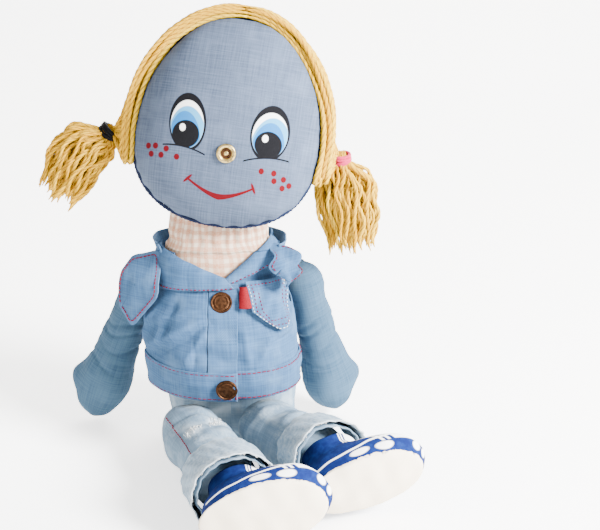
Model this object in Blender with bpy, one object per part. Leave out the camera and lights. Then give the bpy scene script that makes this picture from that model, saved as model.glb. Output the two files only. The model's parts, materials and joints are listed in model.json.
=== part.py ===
"""A stuffed rag doll in a denim jacket and rolled jeans, seated with its legs in front.

Metres, +Z up.  The origin is the centre of the flat underside of the jeans seat and the
doll faces -Y.  Left and right are the doll's own: its left is at +X.  Every piece of cloth
is a thin closed shell, with the stuffing as a core inside it.
"""
import math

import bpy
import bmesh
import numpy as np
from mathutils import Matrix, Vector

# ---------------------------------------------------------------- driving dimensions
GAP = 0.0004                  # air between pieces that touch on the real doll
CLOTH = 0.0010                # thickness of a sewn cloth panel
STEP_DEG = 15                 # widest angle between two neighbouring rows of a shell

# torso: height, centre in X and Y, half width, half depth, at the inner side of the shirt
TORSO = ((0.002, 0.000, 0.000, 0.040, 0.022), (0.012, 0.000, 0.000, 0.048, 0.028),
         (0.030, 0.000, 0.000, 0.050, 0.030), (0.046, 0.000, 0.000, 0.050, 0.031),
         (0.055, -0.001, -0.0195, 0.0505, 0.0415), (0.068, -0.001, -0.0205, 0.051, 0.043),
         (0.081, -0.002, -0.0185, 0.051, 0.043), (0.095, -0.003, -0.014, 0.0505, 0.041),
         (0.110, -0.0045, -0.0075, 0.049, 0.0365), (0.126, -0.006, -0.0015, 0.047, 0.0315),
         (0.142, -0.0075, 0.0035, 0.0435, 0.0265), (0.158, -0.009, 0.006, 0.0395, 0.0225))
TORSO_SQUARE = 2.3            # exponent of its cross sections, 2 is an ellipse
SHIRT_TOP = 0.157
HEM_Z = 0.0555                # bottom edge of the jacket
BAND_TOP = 0.0790             # top edge of the jacket's waistband
JACKET_TOP = 0.150
V_Z = 0.137                   # bottom of the neck opening
ARMHOLE_Z = 0.104             # bottom of the armholes
NECK_X = 0.036                # half width of the neck opening at the top
EDGE_X = 0.007                # front edge of the right side, just past the middle
PLACKET_X = -0.016            # seam between the right front and its placket
UNDER_X = -0.006              # front edge of the left side, under the placket
SIDE = math.radians(89.5)     # the side seams, just short of a quarter turn
LAPEL_LOW = 0.1335            # lower edge of the right lapel
BUTTONS = {"top": (-0.0055, 0.1245), "bottom": (-0.001, 0.0660)}   # across and up

# outlines of the two collar wings, from the neck round the point
COLLAR_RIGHT = ((-0.053, -0.032, 0.165), (-0.076, -0.020, 0.156), (-0.085, -0.014, 0.140),
                (-0.086, -0.016, 0.114), (-0.075, -0.024, 0.098), (-0.053, -0.034, 0.128))
COLLAR_LEFT = ((0.038, -0.026, 0.166), (0.054, -0.018, 0.160), (0.060, -0.014, 0.148),
               (0.056, -0.028, 0.136), (0.049, -0.034, 0.132), (0.040, -0.036, 0.146))

# cloth layers, as distances outside the torso's surface
SHIRT = (0.0, CLOTH)
UNDER = (0.0022, 0.0022 + CLOTH)
OVER = (0.0056, 0.0056 + CLOTH)
TRIM = (0.0078, 0.0078 + CLOTH)

SEAT_TOP = 0.0465             # rim of the jeans seat
SEAT = (0.050, 0.030)         # its half width and half depth
SEAT_FLAT = (0.042, 0.025)    # half sizes of the flat face it rests on
SEAT_ROUND = 0.007            # height of the rounded edge round that face

HEAD_CENTRE = (0.0015, -0.009, 0.2575)
HEAD_LEAN = math.radians(17)  # the face looks up by this much
HEAD_ROLL = math.radians(9)   # and its top leans to the doll's left
HEAD_W = 0.0680               # half width
HEAD_H = 0.0775               # half height
HEAD_D = 0.0400               # half depth
HAIR_IN = 0.0030              # the yarn starts this far outside the head's cloth
HAIR_OUT = 0.0075             # and ends this far outside it
HEAD_NARROW = 0.17            # how much narrower the crown is than the jaw
HEAD_SQUARE = 2.2             # exponent of the outline, 2 is an ellipse
NOSE = (0.003, -0.024)        # sideways and up from the middle of the face

NECK_PIVOT = (-0.009, 0.002, 0.158)
NOD_PIVOT = (-0.009, 0.000, 0.170)
NECK_TOP = (0.0350, 0.0190)   # half width and half depth of the gathered neck
NECK_BOTTOM = (0.0385, 0.0215)
NECK_HIGH = 0.012

LEG_R = 0.0235
HIP_Z = 0.0250
HIPS = {"right": (-0.029, -0.061, HIP_Z), "left": (0.029, -0.053, HIP_Z)}
ANKLES = {"right": (0.0090, -0.1660, 0.0300), "left": (0.0760, -0.1340, 0.0380)}
FOOT_TURN = {"right": (10, 5, 8), "left": (18, 10, 18)}   # degrees: outward, toe up, sole down
FOOT_LONG = 0.086
FOOT_WIDE = 0.053
FOOT_HIGH = 0.029
FOOT_HEEL = 0.018             # the ankle sits this far behind the foot's middle

ARM_R = 0.0150
SHOULDERS = {"right": (-0.069, 0.010, 0.126), "left": (0.056, 0.018, 0.124)}
HANDS = {"right": (-0.108, 0.014, 0.026), "left": (0.079, 0.026, 0.026)}

ELASTICS = {"right": (-0.090, 0.004, 0.247), "left": (0.085, 0.004, 0.226)}
TUFT_TIPS = {"right": (-0.131, 0.004, 0.200), "left": (0.094, 0.004, 0.158)}

DENIM = (0.33, 0.44, 0.56)
CHAMBRAY = (0.25, 0.32, 0.42)
JEANS = (0.46, 0.53, 0.58)
GINGHAM = (0.86, 0.70, 0.58)
YARN = (0.72, 0.52, 0.24)
FILL = (0.85, 0.83, 0.78)
COPPER = (0.32, 0.16, 0.08)
BRASS = (0.65, 0.50, 0.24)
RED = (0.62, 0.05, 0.05)
BLUE = (0.03, 0.09, 0.36)
WHITE = (0.88, 0.86, 0.82)
BLACK = (0.02, 0.02, 0.02)
PINK = (0.80, 0.25, 0.40)


# ---------------------------------------------------------------- Blender helpers
def material(name, colour, roughness=0.9, metallic=0.0):
    """A plain Principled material."""
    made = bpy.data.materials.new(name)
    made.use_nodes = True
    shader = made.node_tree.nodes["Principled BSDF"]
    shader.inputs["Base Color"].default_value = (*colour, 1.0)
    shader.inputs["Roughness"].default_value = roughness
    shader.inputs["Metallic"].default_value = metallic
    return made


def solid(name, points, faces, look, pivot=(0.0, 0.0, 0.0)):
    """A closed body from points and faces, with its origin at the pivot."""
    mesh = bpy.data.meshes.new(name)
    origin = Vector(pivot)
    mesh.from_pydata([Vector(p) - origin for p in points], [], faces)
    work = bmesh.new()
    work.from_mesh(mesh)
    bmesh.ops.recalc_face_normals(work, faces=work.faces)
    bmesh.ops.triangulate(work, faces=work.faces)
    work.to_mesh(mesh)
    work.free()
    mesh.shade_smooth()
    mesh.set_sharp_from_angle(angle=math.radians(40))
    mesh.materials.append(look)
    piece = bpy.data.objects.new(name, mesh)
    piece.location = origin
    bpy.context.scene.collection.objects.link(piece)
    return piece


def cut(piece, cutter):
    """Take a cutter's volume out of a piece with a Boolean."""
    cutter.hide_render = True
    cutter.display_type = 'WIRE'
    made = piece.modifiers.new("cut", 'BOOLEAN')
    made.operation = 'DIFFERENCE'
    made.object = cutter


def ring_faces(first, second, closed=True):
    """Quads between two rows of point numbers."""
    count = len(first) if closed else len(first) - 1
    span = len(first)
    return [(first[k], first[(k + 1) % span], second[(k + 1) % span], second[k])
            for k in range(count)]


def sheet(name, outer, inner, look, pivot=(0.0, 0.0, 0.0)):
    """A thick panel from two grids of points, with an edge all the way round."""
    rows, columns = len(outer), len(outer[0])
    points = [p for row in outer for p in row] + [p for row in inner for p in row]
    offset = rows * columns
    faces = []
    for r in range(rows - 1):
        for c in range(columns - 1):
            k = r * columns + c
            faces.append((k, k + 1, k + columns + 1, k + columns))
            faces.append((offset + k, offset + k + columns, offset + k + columns + 1, offset + k + 1))
    rim = [c for c in range(columns)]
    rim += [r * columns + columns - 1 for r in range(1, rows)]
    rim += [(rows - 1) * columns + c for c in range(columns - 2, -1, -1)]
    rim += [r * columns for r in range(rows - 2, 0, -1)]
    faces += ring_faces(rim, [offset + k for k in rim])
    return solid(name, points, faces, look, pivot)


def tube(name, outer, inner, look, pivot=(0.0, 0.0, 0.0)):
    """A hollow sleeve, open at both ends, from outer and inner rings."""
    span = len(outer[0])
    loop = list(outer) + list(reversed(inner))
    points = [p for ring in loop for p in ring]
    faces = []
    for r in range(len(loop)):
        nxt = (r + 1) % len(loop)
        faces += ring_faces([r * span + k for k in range(span)], [nxt * span + k for k in range(span)])
    return solid(name, points, faces, look, pivot)


def loft(name, rings, look, pivot=(0.0, 0.0, 0.0)):
    """A filled body through rings of points, closed by a fan at each end."""
    span = len(rings[0])
    points = [p for ring in rings for p in ring]
    faces = []
    for r in range(len(rings) - 1):
        faces += ring_faces([r * span + k for k in range(span)], [(r + 1) * span + k for k in range(span)])
    for r in (0, len(rings) - 1):
        centre = len(points)
        points.append(tuple(np.mean(rings[r], axis=0)))
        faces += [(r * span + k, r * span + (k + 1) % span, centre) for k in range(span)]
    return solid(name, points, faces, look, pivot)


def lathe(name, profile, frame, look, pivot=(0.0, 0.0, 0.0), sides=20):
    """A turned piece: profile of (radius, height) about the frame's Z, closed on the axis."""
    points = [frame @ Vector((0.0, 0.0, profile[0][1]))]
    for radius, height in profile:
        for k in range(sides):
            turn = 2 * math.pi * k / sides
            points.append(frame @ Vector((radius * math.cos(turn), radius * math.sin(turn), height)))
    points.append(frame @ Vector((0.0, 0.0, profile[-1][1])))
    faces = [(0, 1 + k, 1 + (k + 1) % sides) for k in range(sides)]
    for r in range(len(profile) - 1):
        low = [1 + r * sides + k for k in range(sides)]
        faces += ring_faces(low, [k + sides for k in low])
    last = 1 + (len(profile) - 1) * sides
    faces += [(last + k, last + (k + 1) % sides, len(points) - 1) for k in range(sides)]
    return solid(name, points, faces, look, pivot)


def plate(name, outline, thickness, look, pivot=(0.0, 0.0, 0.0)):
    """A flat flap: an outline of points in space, thickened to one side of its mean plane."""
    centre = Vector(np.mean(outline, axis=0))
    corners = [Vector(p) for p in outline]
    normal = sum(((a - centre).cross(b - centre) for a, b in zip(corners, corners[1:] + corners[:1])),
                 Vector()).normalized()
    shift = normal * thickness
    count = len(corners)
    points = corners + [centre] + [p + shift for p in corners] + [centre + shift]
    faces = [(k, (k + 1) % count, count) for k in range(count)]
    faces += [(count + 1 + k, 2 * count + 1, count + 1 + (k + 1) % count) for k in range(count)]
    faces += [(k, count + 1 + k, count + 1 + (k + 1) % count, (k + 1) % count) for k in range(count)]
    return solid(name, points, faces, look, pivot)


# ---------------------------------------------------------------- shapes of the doll
def power(value, exponent):
    return math.copysign(abs(value) ** exponent, value)


def torso_section(height):
    """Centre in X and Y, half width and half depth of the torso at a height."""
    heights = [row[0] for row in TORSO]
    return [float(np.interp(height, heights, [row[k] for row in TORSO])) for k in (1, 2, 3, 4)]


def torso_point(turn, height, out):
    """A point outside the torso; turn is 0 at the front and grows towards the doll's left."""
    middle, centre, wide, deep = torso_section(height)
    x = middle + (wide + out) * power(math.sin(turn), 2 / TORSO_SQUARE)
    y = centre - (deep + out) * power(math.cos(turn), 2 / TORSO_SQUARE)
    return (x, y, height)


def torso_turn(x, height, out):
    """The turn at which the front of that surface is x to the side."""
    middle, _, wide, _ = torso_section(height)
    return math.asin(max(-1.0, min(1.0, power((x - middle) / (wide + out), TORSO_SQUARE / 2))))


def spread(low, high, widest):
    """Evenly spaced values from low to high, no further apart than widest."""
    return np.linspace(low, high, max(2, math.ceil(abs(high - low) / widest) + 1))


def wrap(name, layer, heights, low, high, look):
    """A panel of cloth on the torso between two edges, each a turn given by height."""
    widest = max(high(z) - low(z) for z in heights)
    count = len(spread(0.0, widest, math.radians(STEP_DEG)))
    grids = []
    for out in (layer[1], layer[0]):
        grids.append([[torso_point(turn, z, out) for turn in np.linspace(low(z), high(z), count)]
                      for z in heights])
    return sheet(name, grids[0], grids[1], look)


def limb_rings(path, sizes, sides, shrink=0.0):
    """Elliptic rings along a path; sizes are half width across and half depth in Y."""
    rings = []
    for k, (centre, size) in enumerate(zip(path, sizes)):
        before = Vector(path[max(k - 1, 0)])
        after = Vector(path[min(k + 1, len(path) - 1)])
        along = (after - before).normalized()
        deep = (Vector((0, 1, 0)) - along * along.y).normalized()
        side = deep.cross(along)
        ring = []
        for step in range(sides):
            turn = 2 * math.pi * step / sides
            point = (Vector(centre) + side * math.cos(turn) * (size[0] - shrink)
                     + deep * math.sin(turn) * (size[1] - shrink))
            ring.append(tuple(point))
        rings.append(ring)
    return rings


def limb_panels(prefix, path, sizes, look, pivot):
    """The two sewn halves of a limb's cover, and the stuffing core inside them."""
    sides = 12
    half = sides // 2
    outer = limb_rings(path, sizes, sides)
    inner = limb_rings(path, sizes, sides, CLOTH)
    core = limb_rings(path, sizes, sides, CLOTH + 2 * GAP)
    nudge = Vector((0.0, GAP / 2, 0.0))
    for part, first, way in (("back", 0, 1), ("front", half, -1)):
        picks = [(first + k) % sides for k in range(half + 1)]
        grids = [[[tuple(Vector(ring[k]) + nudge * way) for k in picks] for ring in rings]
                 for rings in (outer, inner)]
        sheet(f"{prefix}_{part}_panel", grids[0], grids[1], look, pivot)
    return core


def head_frame():
    """The head's own axes: X across, -Y out of the face, Z to the crown."""
    lean = Matrix.Rotation(-HEAD_LEAN, 4, 'X')
    roll = Matrix.Rotation(HEAD_ROLL, 4, 'Y')
    return Matrix.Translation(HEAD_CENTRE) @ lean @ roll


def head_outline(turn, out):
    """The egg-shaped seam line of the head, across and up from its middle."""
    x = (HEAD_W + out) * power(math.cos(turn), 2 / HEAD_SQUARE) * (1 - HEAD_NARROW * math.sin(turn))
    return x, (HEAD_H + out) * power(math.sin(turn), 2 / HEAD_SQUARE)


def head_point(turn, reach, side, out):
    """A point on the head: turn round the outline, reach 0 at the middle to 1 at the seam."""
    swell = math.sin(reach * math.pi / 2)
    x, z = head_outline(turn, out)
    y = side * (HEAD_D + out) * math.cos(reach * math.pi / 2)
    return head_frame() @ Vector((x * swell, y + side * GAP, z * swell))


# ---------------------------------------------------------------- torso, shirt and jeans
def torso_core(look):
    """The stuffing of the torso and the seat, one soft core."""
    rings = []
    for z in [row[0] for row in TORSO[:-1]] + [SHIRT_TOP]:
        base = -2 * GAP - (CLOTH if z < SEAT_TOP else 0.0)
        rings.append([torso_point(turn, z, base) for turn in np.linspace(0, 2 * math.pi, 25)[:-1]])
    return loft("torso_stuffing", rings, look)


def shirt(look):
    """Front and back of the gingham body, sewn at the sides."""
    heights = [0.056] + [row[0] for row in TORSO if HEM_Z < row[0] < SHIRT_TOP] + [SHIRT_TOP]
    edge = math.radians(89.5)
    wrap("shirt_front_panel", SHIRT, heights, lambda z: -edge, lambda z: edge, look)
    wrap("shirt_back_panel", SHIRT, heights, lambda z: math.pi - edge, lambda z: math.pi + edge, look)


def neck_ring(z, size, shrink):
    """An oval ring of points about the neck's axis."""
    return [(NECK_PIVOT[0] + (size[0] - shrink) * math.cos(a),
             NECK_PIVOT[1] + (size[1] - shrink) * math.sin(a), z)
            for a in np.linspace(0, 2 * math.pi, 25)[:-1]]


def neck(look, fill):
    """The gathered neck, a short sleeve between the shirt and the head, and its stuffing."""
    low = SHIRT_TOP + 2 * GAP
    rows = ((low, NECK_BOTTOM), (low + NECK_HIGH / 2, NECK_TOP), (low + NECK_HIGH, NECK_TOP))
    outer = [neck_ring(z, size, 0.0) for z, size in rows]
    inner = [neck_ring(z, size, CLOTH) for z, size in rows]
    tube("neck_band", outer, inner, look, NECK_PIVOT)
    loft("neck_stuffing", [neck_ring(z, size, CLOTH + 2 * GAP) for z, size in rows], fill, NECK_PIVOT)


def jeans_seat(look):
    """The seat of the jeans: a cup with a flat underside, open at the waist."""
    turns = np.linspace(0, 2 * math.pi, 25)[:-1]
    low = TORSO[0][0] - GAP
    outer = [[(SEAT_FLAT[0] * math.sin(a), -SEAT_FLAT[1] * math.cos(a), 0.0) for a in turns]]
    inner = [[(0.97 * SEAT_FLAT[0] * math.sin(a), -0.95 * SEAT_FLAT[1] * math.cos(a), low - GAP)
              for a in turns]]
    for z in (SEAT_ROUND, 0.012, 0.030, SEAT_TOP - GAP):
        outer.append([torso_point(a, z, CLOTH) for a in turns])
        inner.append([torso_point(a, z, 0.0) for a in turns])
    span = len(turns)
    rings = outer + list(reversed(inner))
    points = [p for ring in rings for p in ring]
    faces = []
    for r in range(len(rings) - 1):
        faces += ring_faces([r * span + k for k in range(span)], [(r + 1) * span + k for k in range(span)])
    for first in (0, (len(rings) - 1) * span):
        faces.append(tuple(range(first, first + span)))
    return solid("jeans_seat", points, faces, look)


# ---------------------------------------------------------------- jacket
def armhole(z):
    """How far an edge draws back from the side seam to leave the armhole open."""
    return math.radians(34) * min(1.0, max(0.0, (z - ARMHOLE_Z) / 0.012))


def neck_edge(start, side, layer):
    """A front edge that is straight up to the neck opening and then runs out to the shoulder."""

    def turn(z):
        part = max(0.0, (z - V_Z) / (JACKET_TOP - V_Z))
        middle = torso_section(z)[0]
        return torso_turn(start + (middle + side * NECK_X - start) * part, z, layer[1])

    return turn


def jacket_body(look):
    """Back, two fronts and the placket strip of the sleeveless jacket."""
    heights = list(spread(BAND_TOP + GAP, ARMHOLE_Z, 0.012))
    heights += [0.110, 0.116, 0.126, V_Z, 0.1435, JACKET_TOP]
    wrap("jacket_back", UNDER, heights, lambda z: math.pi - SIDE + armhole(z),
         lambda z: math.pi + SIDE - armhole(z), look)
    wrap("jacket_front_left", UNDER, heights, neck_edge(UNDER_X, 1, UNDER),
         lambda z: SIDE - armhole(z), look)
    wrap("jacket_front_right", OVER, heights, lambda z: -SIDE + armhole(z),
         neck_edge(PLACKET_X, -1, OVER), look)
    strip = [z for z in heights if z <= V_Z]
    return wrap("jacket_placket", OVER, strip, lambda z: torso_turn(PLACKET_X + 2 * GAP, z, OVER[1]),
                lambda z: torso_turn(EDGE_X, z, OVER[1]), look)


def waistband(look):
    """The three bands of the waist, behind and on each side in front."""
    heights = (HEM_Z, 0.0635, 0.0715, BAND_TOP - GAP)
    wrap("waistband_back", UNDER, heights, lambda z: math.pi - SIDE, lambda z: math.pi + SIDE, look)
    wrap("waistband_left", UNDER, heights, lambda z: torso_turn(UNDER_X, z, UNDER[1]), lambda z: SIDE, look)
    return wrap("waistband_right", OVER, heights, lambda z: -SIDE,
                lambda z: torso_turn(EDGE_X, z, OVER[1]), look)


def surface_frame(x, z, out):
    """Axes on the torso's front, with Z pointing out of it."""
    turn = torso_turn(x, z, out)
    here = Vector(torso_point(turn, z, out))
    side = (Vector(torso_point(turn + 0.05, z, out)) - here).normalized()
    above = Vector(torso_point(torso_turn(x, z + 0.003, out), z + 0.003, out))
    outward = side.cross((above - here).normalized()).normalized()
    up = outward.cross(side)
    frame = Matrix((side, up, outward)).transposed().to_4x4()
    return Matrix.Translation(here) @ frame


def tack_button(name, x, z, cloth, look):
    """A tack button: its cap outside the cloth, and the tack through the cloth from behind."""
    frame = surface_frame(x, z, OVER[1])
    cap = ((0.0070, 0.0004), (0.0080, 0.0010), (0.0080, 0.0018), (0.0066, 0.0026), (0.0050, 0.0023))
    lathe(f"{name}_cap", cap, frame, look)
    tack = ((0.0026, -0.0026), (0.0026, -0.0021), (0.0010, -0.0021), (0.0010, 0.0000))
    lathe(f"{name}_tack", tack, frame, look, sides=12)
    hole = lathe(f"{name}_hole", ((0.0014, -0.0032), (0.0014, 0.0030)), frame, look, sides=12)
    cut(cloth, hole)


def lapels(look):
    """The turned-back corners of the two fronts, either side of the neck opening."""
    low, top = LAPEL_LOW, JACKET_TOP - 0.002
    right = (low, V_Z, 0.5 * (V_Z + top), top)
    wrap("lapel_right", TRIM, right, lambda z: torso_turn(-0.0470, z, TRIM[1]),
         lambda z: torso_turn(0.001 - 0.036 * (z - low) / (top - low), z, TRIM[1]), look)
    layer = (UNDER[1] + 3 * GAP, UNDER[1] + 3 * GAP + CLOTH)
    left = (V_Z + 0.004, 0.5 * (V_Z + top) + 0.002, top)
    rise = 0.030 / (top - left[0])
    wrap("lapel_left", layer, left, lambda z: torso_turn(0.0005 + rise * 0.8 * (z - left[0]), z, layer[1]),
         lambda z: torso_turn(0.0050 + rise * (z - left[0]), z, layer[1]), look)


def collar(look):
    """The stand round the back of the neck and the two pointed wings over the shoulders."""
    heights = (0.1515, 0.157, 0.162)
    back = (0.0060, 0.0060 + CLOTH)

    def ring(z, out):
        grid = []
        for turn in spread(math.radians(70), math.radians(290), math.radians(STEP_DEG)):
            x, y, _ = torso_point(turn, JACKET_TOP, out + 0.3 * (z - heights[0]))
            grid.append((x, y, z))
        return grid

    outer = [ring(z, back[1]) for z in heights]
    inner = [ring(z, back[0]) for z in heights]
    sheet("collar_stand", outer, inner, look)
    plate("collar_wing_right", COLLAR_RIGHT, CLOTH, look)
    plate("collar_wing_left", COLLAR_LEFT, CLOTH, look)


def pocket(cloth, tab):
    """The pointed breast pocket and the plain folded tab in its side seam."""
    layer = (UNDER[1] + 3 * GAP, UNDER[1] + 3 * GAP + CLOTH)
    heights = (0.0995, 0.1045, 0.1090, 0.1135, 0.1235, 0.1335)
    inner = (0.0390, 0.0315, 0.0250, 0.0185, 0.0155, 0.0125)
    outer = (0.0410, 0.0440, 0.0465, 0.0460, 0.0435, 0.0400)

    def edge(z, values):
        return torso_turn(float(np.interp(z, heights, values)), z, layer[1])

    wrap("pocket", layer, heights, lambda z: edge(z, inner), lambda z: edge(z, outer), cloth)
    wrap("pocket_tab", layer, (0.1145, 0.1215, 0.1285), lambda z: torso_turn(0.0085, z, layer[1]),
         lambda z: edge(z, inner) - math.radians(0.7), tab)


# ---------------------------------------------------------------- head and hair
def head_shell(name, side, look):
    """One sewn half of the head: a dome of cloth, with the nose rivet's hole in the face."""
    turns = np.linspace(0, 2 * math.pi, 25)[:-1]
    reaches = np.linspace(0, 1, 6)[1:]
    span = len(turns)
    points, faces = [], []
    for out in (0.0, -CLOTH):
        base = len(points)
        points.append(head_point(0.0, 0.0, side, out))
        for reach in reaches:
            points += [head_point(turn, reach, side, out) for turn in turns]
        faces += [(base, base + 1 + k, base + 1 + (k + 1) % span) for k in range(span)]
        for r in range(len(reaches) - 1):
            low = [base + 1 + r * span + k for k in range(span)]
            faces += ring_faces(low, [k + span for k in low])
    last = 1 + (len(reaches) - 1) * span
    rim = [last + k for k in range(span)]
    faces += ring_faces(rim, [k + len(points) // 2 for k in rim])
    return solid(name, points, faces, look, NOD_PIVOT)


def head_core(look):
    """The stuffing of the head."""
    turns = np.linspace(0, 2 * math.pi, 25)[:-1]
    rings = []
    for side in (-1, 1):
        reaches = (0.2, 0.4, 0.6, 0.8, 0.94)
        for reach in (reaches if side < 0 else reversed(reaches)):
            rings.append([head_point(turn, reach, side, -CLOTH - 3 * GAP) for turn in turns])
    return loft("head_stuffing", rings, look, NOD_PIVOT)


def head_piping(look):
    """The thin cord sewn into the seam round the head."""
    radius = 0.0011
    rings = []
    for turn in np.linspace(0, 2 * math.pi, 31)[:-1]:
        rim = head_outline(turn, 0.0)
        away = Vector((rim[0], 0.0, rim[1])).normalized()
        middle = Vector((rim[0], 0.0, rim[1])) + away * (radius + GAP)
        rings.append([head_frame() @ (middle + away * radius * math.cos(a)
                                      + Vector((0, radius * math.sin(a), 0)))
                      for a in np.linspace(0, 2 * math.pi, 6)[:-1]])
    span = len(rings[0])
    points = [p for ring in rings for p in ring]
    faces = []
    for r in range(len(rings)):
        nxt = (r + 1) % len(rings)
        faces += ring_faces([r * span + k for k in range(span)], [nxt * span + k for k in range(span)])
    return solid("head_piping", points, faces, look, NOD_PIVOT)


def nose_rivet(face, core, look):
    """A two-part rivet for the nose: a ring-shaped cap outside and its washer inside."""
    x, z = NOSE
    y = -HEAD_D * math.sqrt(1 - (x / HEAD_W) ** 2 - (z / HEAD_H) ** 2) - GAP
    normal = Vector((x / HEAD_W ** 2, y / HEAD_D ** 2, z / HEAD_H ** 2)).normalized()
    turn = Vector((0, 0, 1)).rotation_difference(normal).to_matrix().to_4x4()
    frame = head_frame() @ Matrix.Translation((x, y, z)) @ turn
    cap = ((0.0016, -0.0016), (0.0016, 0.0005), (0.0066, 0.0005), (0.0072, 0.0012), (0.0066, 0.0022),
           (0.0050, 0.0024), (0.0040, 0.0014), (0.0016, 0.0012))
    lathe("nose_rivet_cap", cap, frame, look, NOD_PIVOT)
    washer = ((0.0050, -0.0030), (0.0050, -0.0022), (0.0008, -0.0022))
    lathe("nose_rivet_washer", washer, frame, look, NOD_PIVOT, sides=14)
    cut(face, lathe("rivet_hole", ((0.0022, -0.0040), (0.0022, 0.0040)), frame, look, sides=12))
    cut(core, lathe("rivet_space", ((0.0058, -0.0042), (0.0058, 0.0040)), frame, look, sides=12))


def hair_half(name, low_deg, high_deg, look):
    """Half of the yarn hair, from the parting round the crown and side to behind the ear."""
    turns = [math.radians(a) for a in spread(low_deg, high_deg, STEP_DEG)]
    reaches = (0.06, 0.25, 0.45, 0.65, 0.82, 0.95)
    grids = [[[head_point(turn, reach, 1, out) for turn in turns] for reach in reaches]
             for out in (HAIR_OUT, HAIR_IN)]
    return sheet(name, grids[0], grids[1], look, NOD_PIVOT)


def parting(look):
    """The line of stitching down the parting, on top of the yarn."""
    grids = []
    for out in (HAIR_OUT + 0.0012, HAIR_OUT + 0.0004):
        grids.append([[head_point(math.radians(90 + a), reach, 1, out) for a in (-1.6, 1.6)]
                      for reach in np.linspace(0.30, 0.97, 7)])
    return sheet("parting_stitch", grids[0], grids[1], look, NOD_PIVOT)


def pigtail(side, elastic_name, band_look, yarn_look):
    """A tuft of yarn and the elastic that ties it."""
    base = Vector(ELASTICS[side])
    along = (Vector(TUFT_TIPS[side]) - base)
    length = along.length
    along.normalize()
    turn = Vector((0, 0, 1)).rotation_difference(along).to_matrix().to_4x4()
    frame = Matrix.Translation(base) @ turn
    ring = [[], []]
    for height in (-0.0022, 0.0, 0.0022):
        bulge = 0.0009 * (1 - (height / 0.0022) ** 2)
        for rings, radius in ((ring[0], 0.0075 + bulge), (ring[1], 0.0052)):
            rings.append([frame @ Vector((radius * math.cos(a), radius * math.sin(a), height))
                          for a in np.linspace(0, 2 * math.pi, 17)[:-1]])
    tube(elastic_name, ring[0], ring[1], band_look, NOD_PIVOT)
    stations = ((0.0042, -0.05), (0.0044, 0.06), (0.0105, 0.17), (0.0170, 0.38),
                (0.0185, 0.62), (0.0150, 0.85), (0.0070, 1.0))
    rings = [[frame @ Vector((r * math.cos(a), 0.72 * r * math.sin(a), length * s))
              for a in np.linspace(0, 2 * math.pi, 13)[:-1]] for r, s in stations]
    loft(f"pigtail_{side}", rings, yarn_look, ELASTICS[side])


# ---------------------------------------------------------------- limbs
def along_path(start, end, parts):
    """Points at the given fractions between two points."""
    first, last = Vector(start), Vector(end)
    return [tuple(first.lerp(last, part)) for part in parts]


def arm(side, look, fill):
    """One arm with its mitten hand: cover in two halves, and the stuffing."""
    start, end = SHOULDERS[side], HANDS[side]
    parts = (-0.125, -0.06, 0.0, 0.14, 0.38, 0.60, 0.78, 0.92, 1.05, 1.15, 1.20)
    rise = (0.30, 0.80, 1.00, 1.02, 1.06, 1.14, 1.32, 1.38, 1.20, 0.75, 0.28)
    sizes = [(ARM_R * k, ARM_R * (0.95 if k < 1.1 else 0.90) * k) for k in rise]
    path = along_path(start, end, parts)
    core = limb_panels(f"arm_{side}", path, sizes, look, start)
    loft(f"arm_{side}_stuffing", core[1:-1], fill, start)


def leg(side, look, band_look, fill):
    """One leg of the jeans: cover in two halves, the rolled cuff and the stuffing."""
    start, end = HIPS[side], ANKLES[side]
    parts = (-0.20, -0.12, 0.0, 0.25, 0.55, 0.80, 0.90)
    rise = (0.40, 0.82, 1.00, 1.02, 1.00, 0.98, 0.90)
    sizes = [(LEG_R * k, LEG_R * k) for k in rise]
    path = along_path(start, end, parts)
    outer = leg_rings(path, sizes)
    inner = leg_rings(path, sizes, CLOTH)
    half = len(outer[0]) // 2
    for part, first, way in (("front", 0, 1), ("back", half, -1)):
        picks = [(first + k) % len(outer[0]) for k in range(half + 1)]
        nudge = Vector((0.0, 0.0, way * GAP / 2))
        grids = [[[tuple(Vector(ring[k]) + nudge) for k in picks] for ring in rings]
                 for rings in (outer, inner)]
        sheet(f"leg_{side}_{part}_panel", grids[0], grids[1], look, start)
    loft(f"leg_{side}_stuffing", leg_rings(path, sizes, CLOTH + 2 * GAP), fill, start)
    cuff_path = along_path(start, end, (0.72, 0.74, 0.84, 0.95, 0.97))
    cuff = [(LEG_R * k, LEG_R * k) for k in (1.14, 1.22, 1.26, 1.24, 1.16)]
    hollow = [(LEG_R * k, LEG_R * k) for k in (1.07, 1.09, 1.13, 1.14, 1.12)]
    tube(f"cuff_{side}", leg_rings(cuff_path, cuff), leg_rings(cuff_path, hollow), band_look, start)


def leg_rings(path, sizes, shrink=0.0, sides=14):
    """Rings along a leg that lies level; the first point of each is at its outer side."""
    along = (Vector(path[-1]) - Vector(path[0])).normalized()
    side = along.cross(Vector((0, 0, 1))).normalized()
    up = side.cross(along)
    rings = []
    for centre, size in zip(path, sizes):
        rings.append([tuple(Vector(centre) + side * math.cos(a) * (size[0] - shrink)
                            + up * math.sin(a) * (size[1] - shrink))
                      for a in np.linspace(0, 2 * math.pi, sides + 1)[:-1]])
    return rings


def foot_frame(side):
    """Axes of a foot: X to the toe, Z out of the sole; the origin is the sole's middle."""
    outward, toe_up, sole_down = (math.radians(angle) for angle in FOOT_TURN[side])
    turn = (Matrix.Rotation(outward, 3, 'Z') @ Matrix.Rotation(sole_down, 3, 'X')
            @ Matrix.Rotation(-toe_up, 3, 'Y'))
    toe, out, across = turn @ Vector((1, 0, 0)), turn @ Vector((0, -1, 0)), turn @ Vector((0, 0, 1))
    centre = Vector(ANKLES[side]) + out * FOOT_HIGH + toe * FOOT_HEEL
    return Matrix.Translation(centre) @ Matrix((toe, across, out)).transposed().to_4x4()


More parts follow.
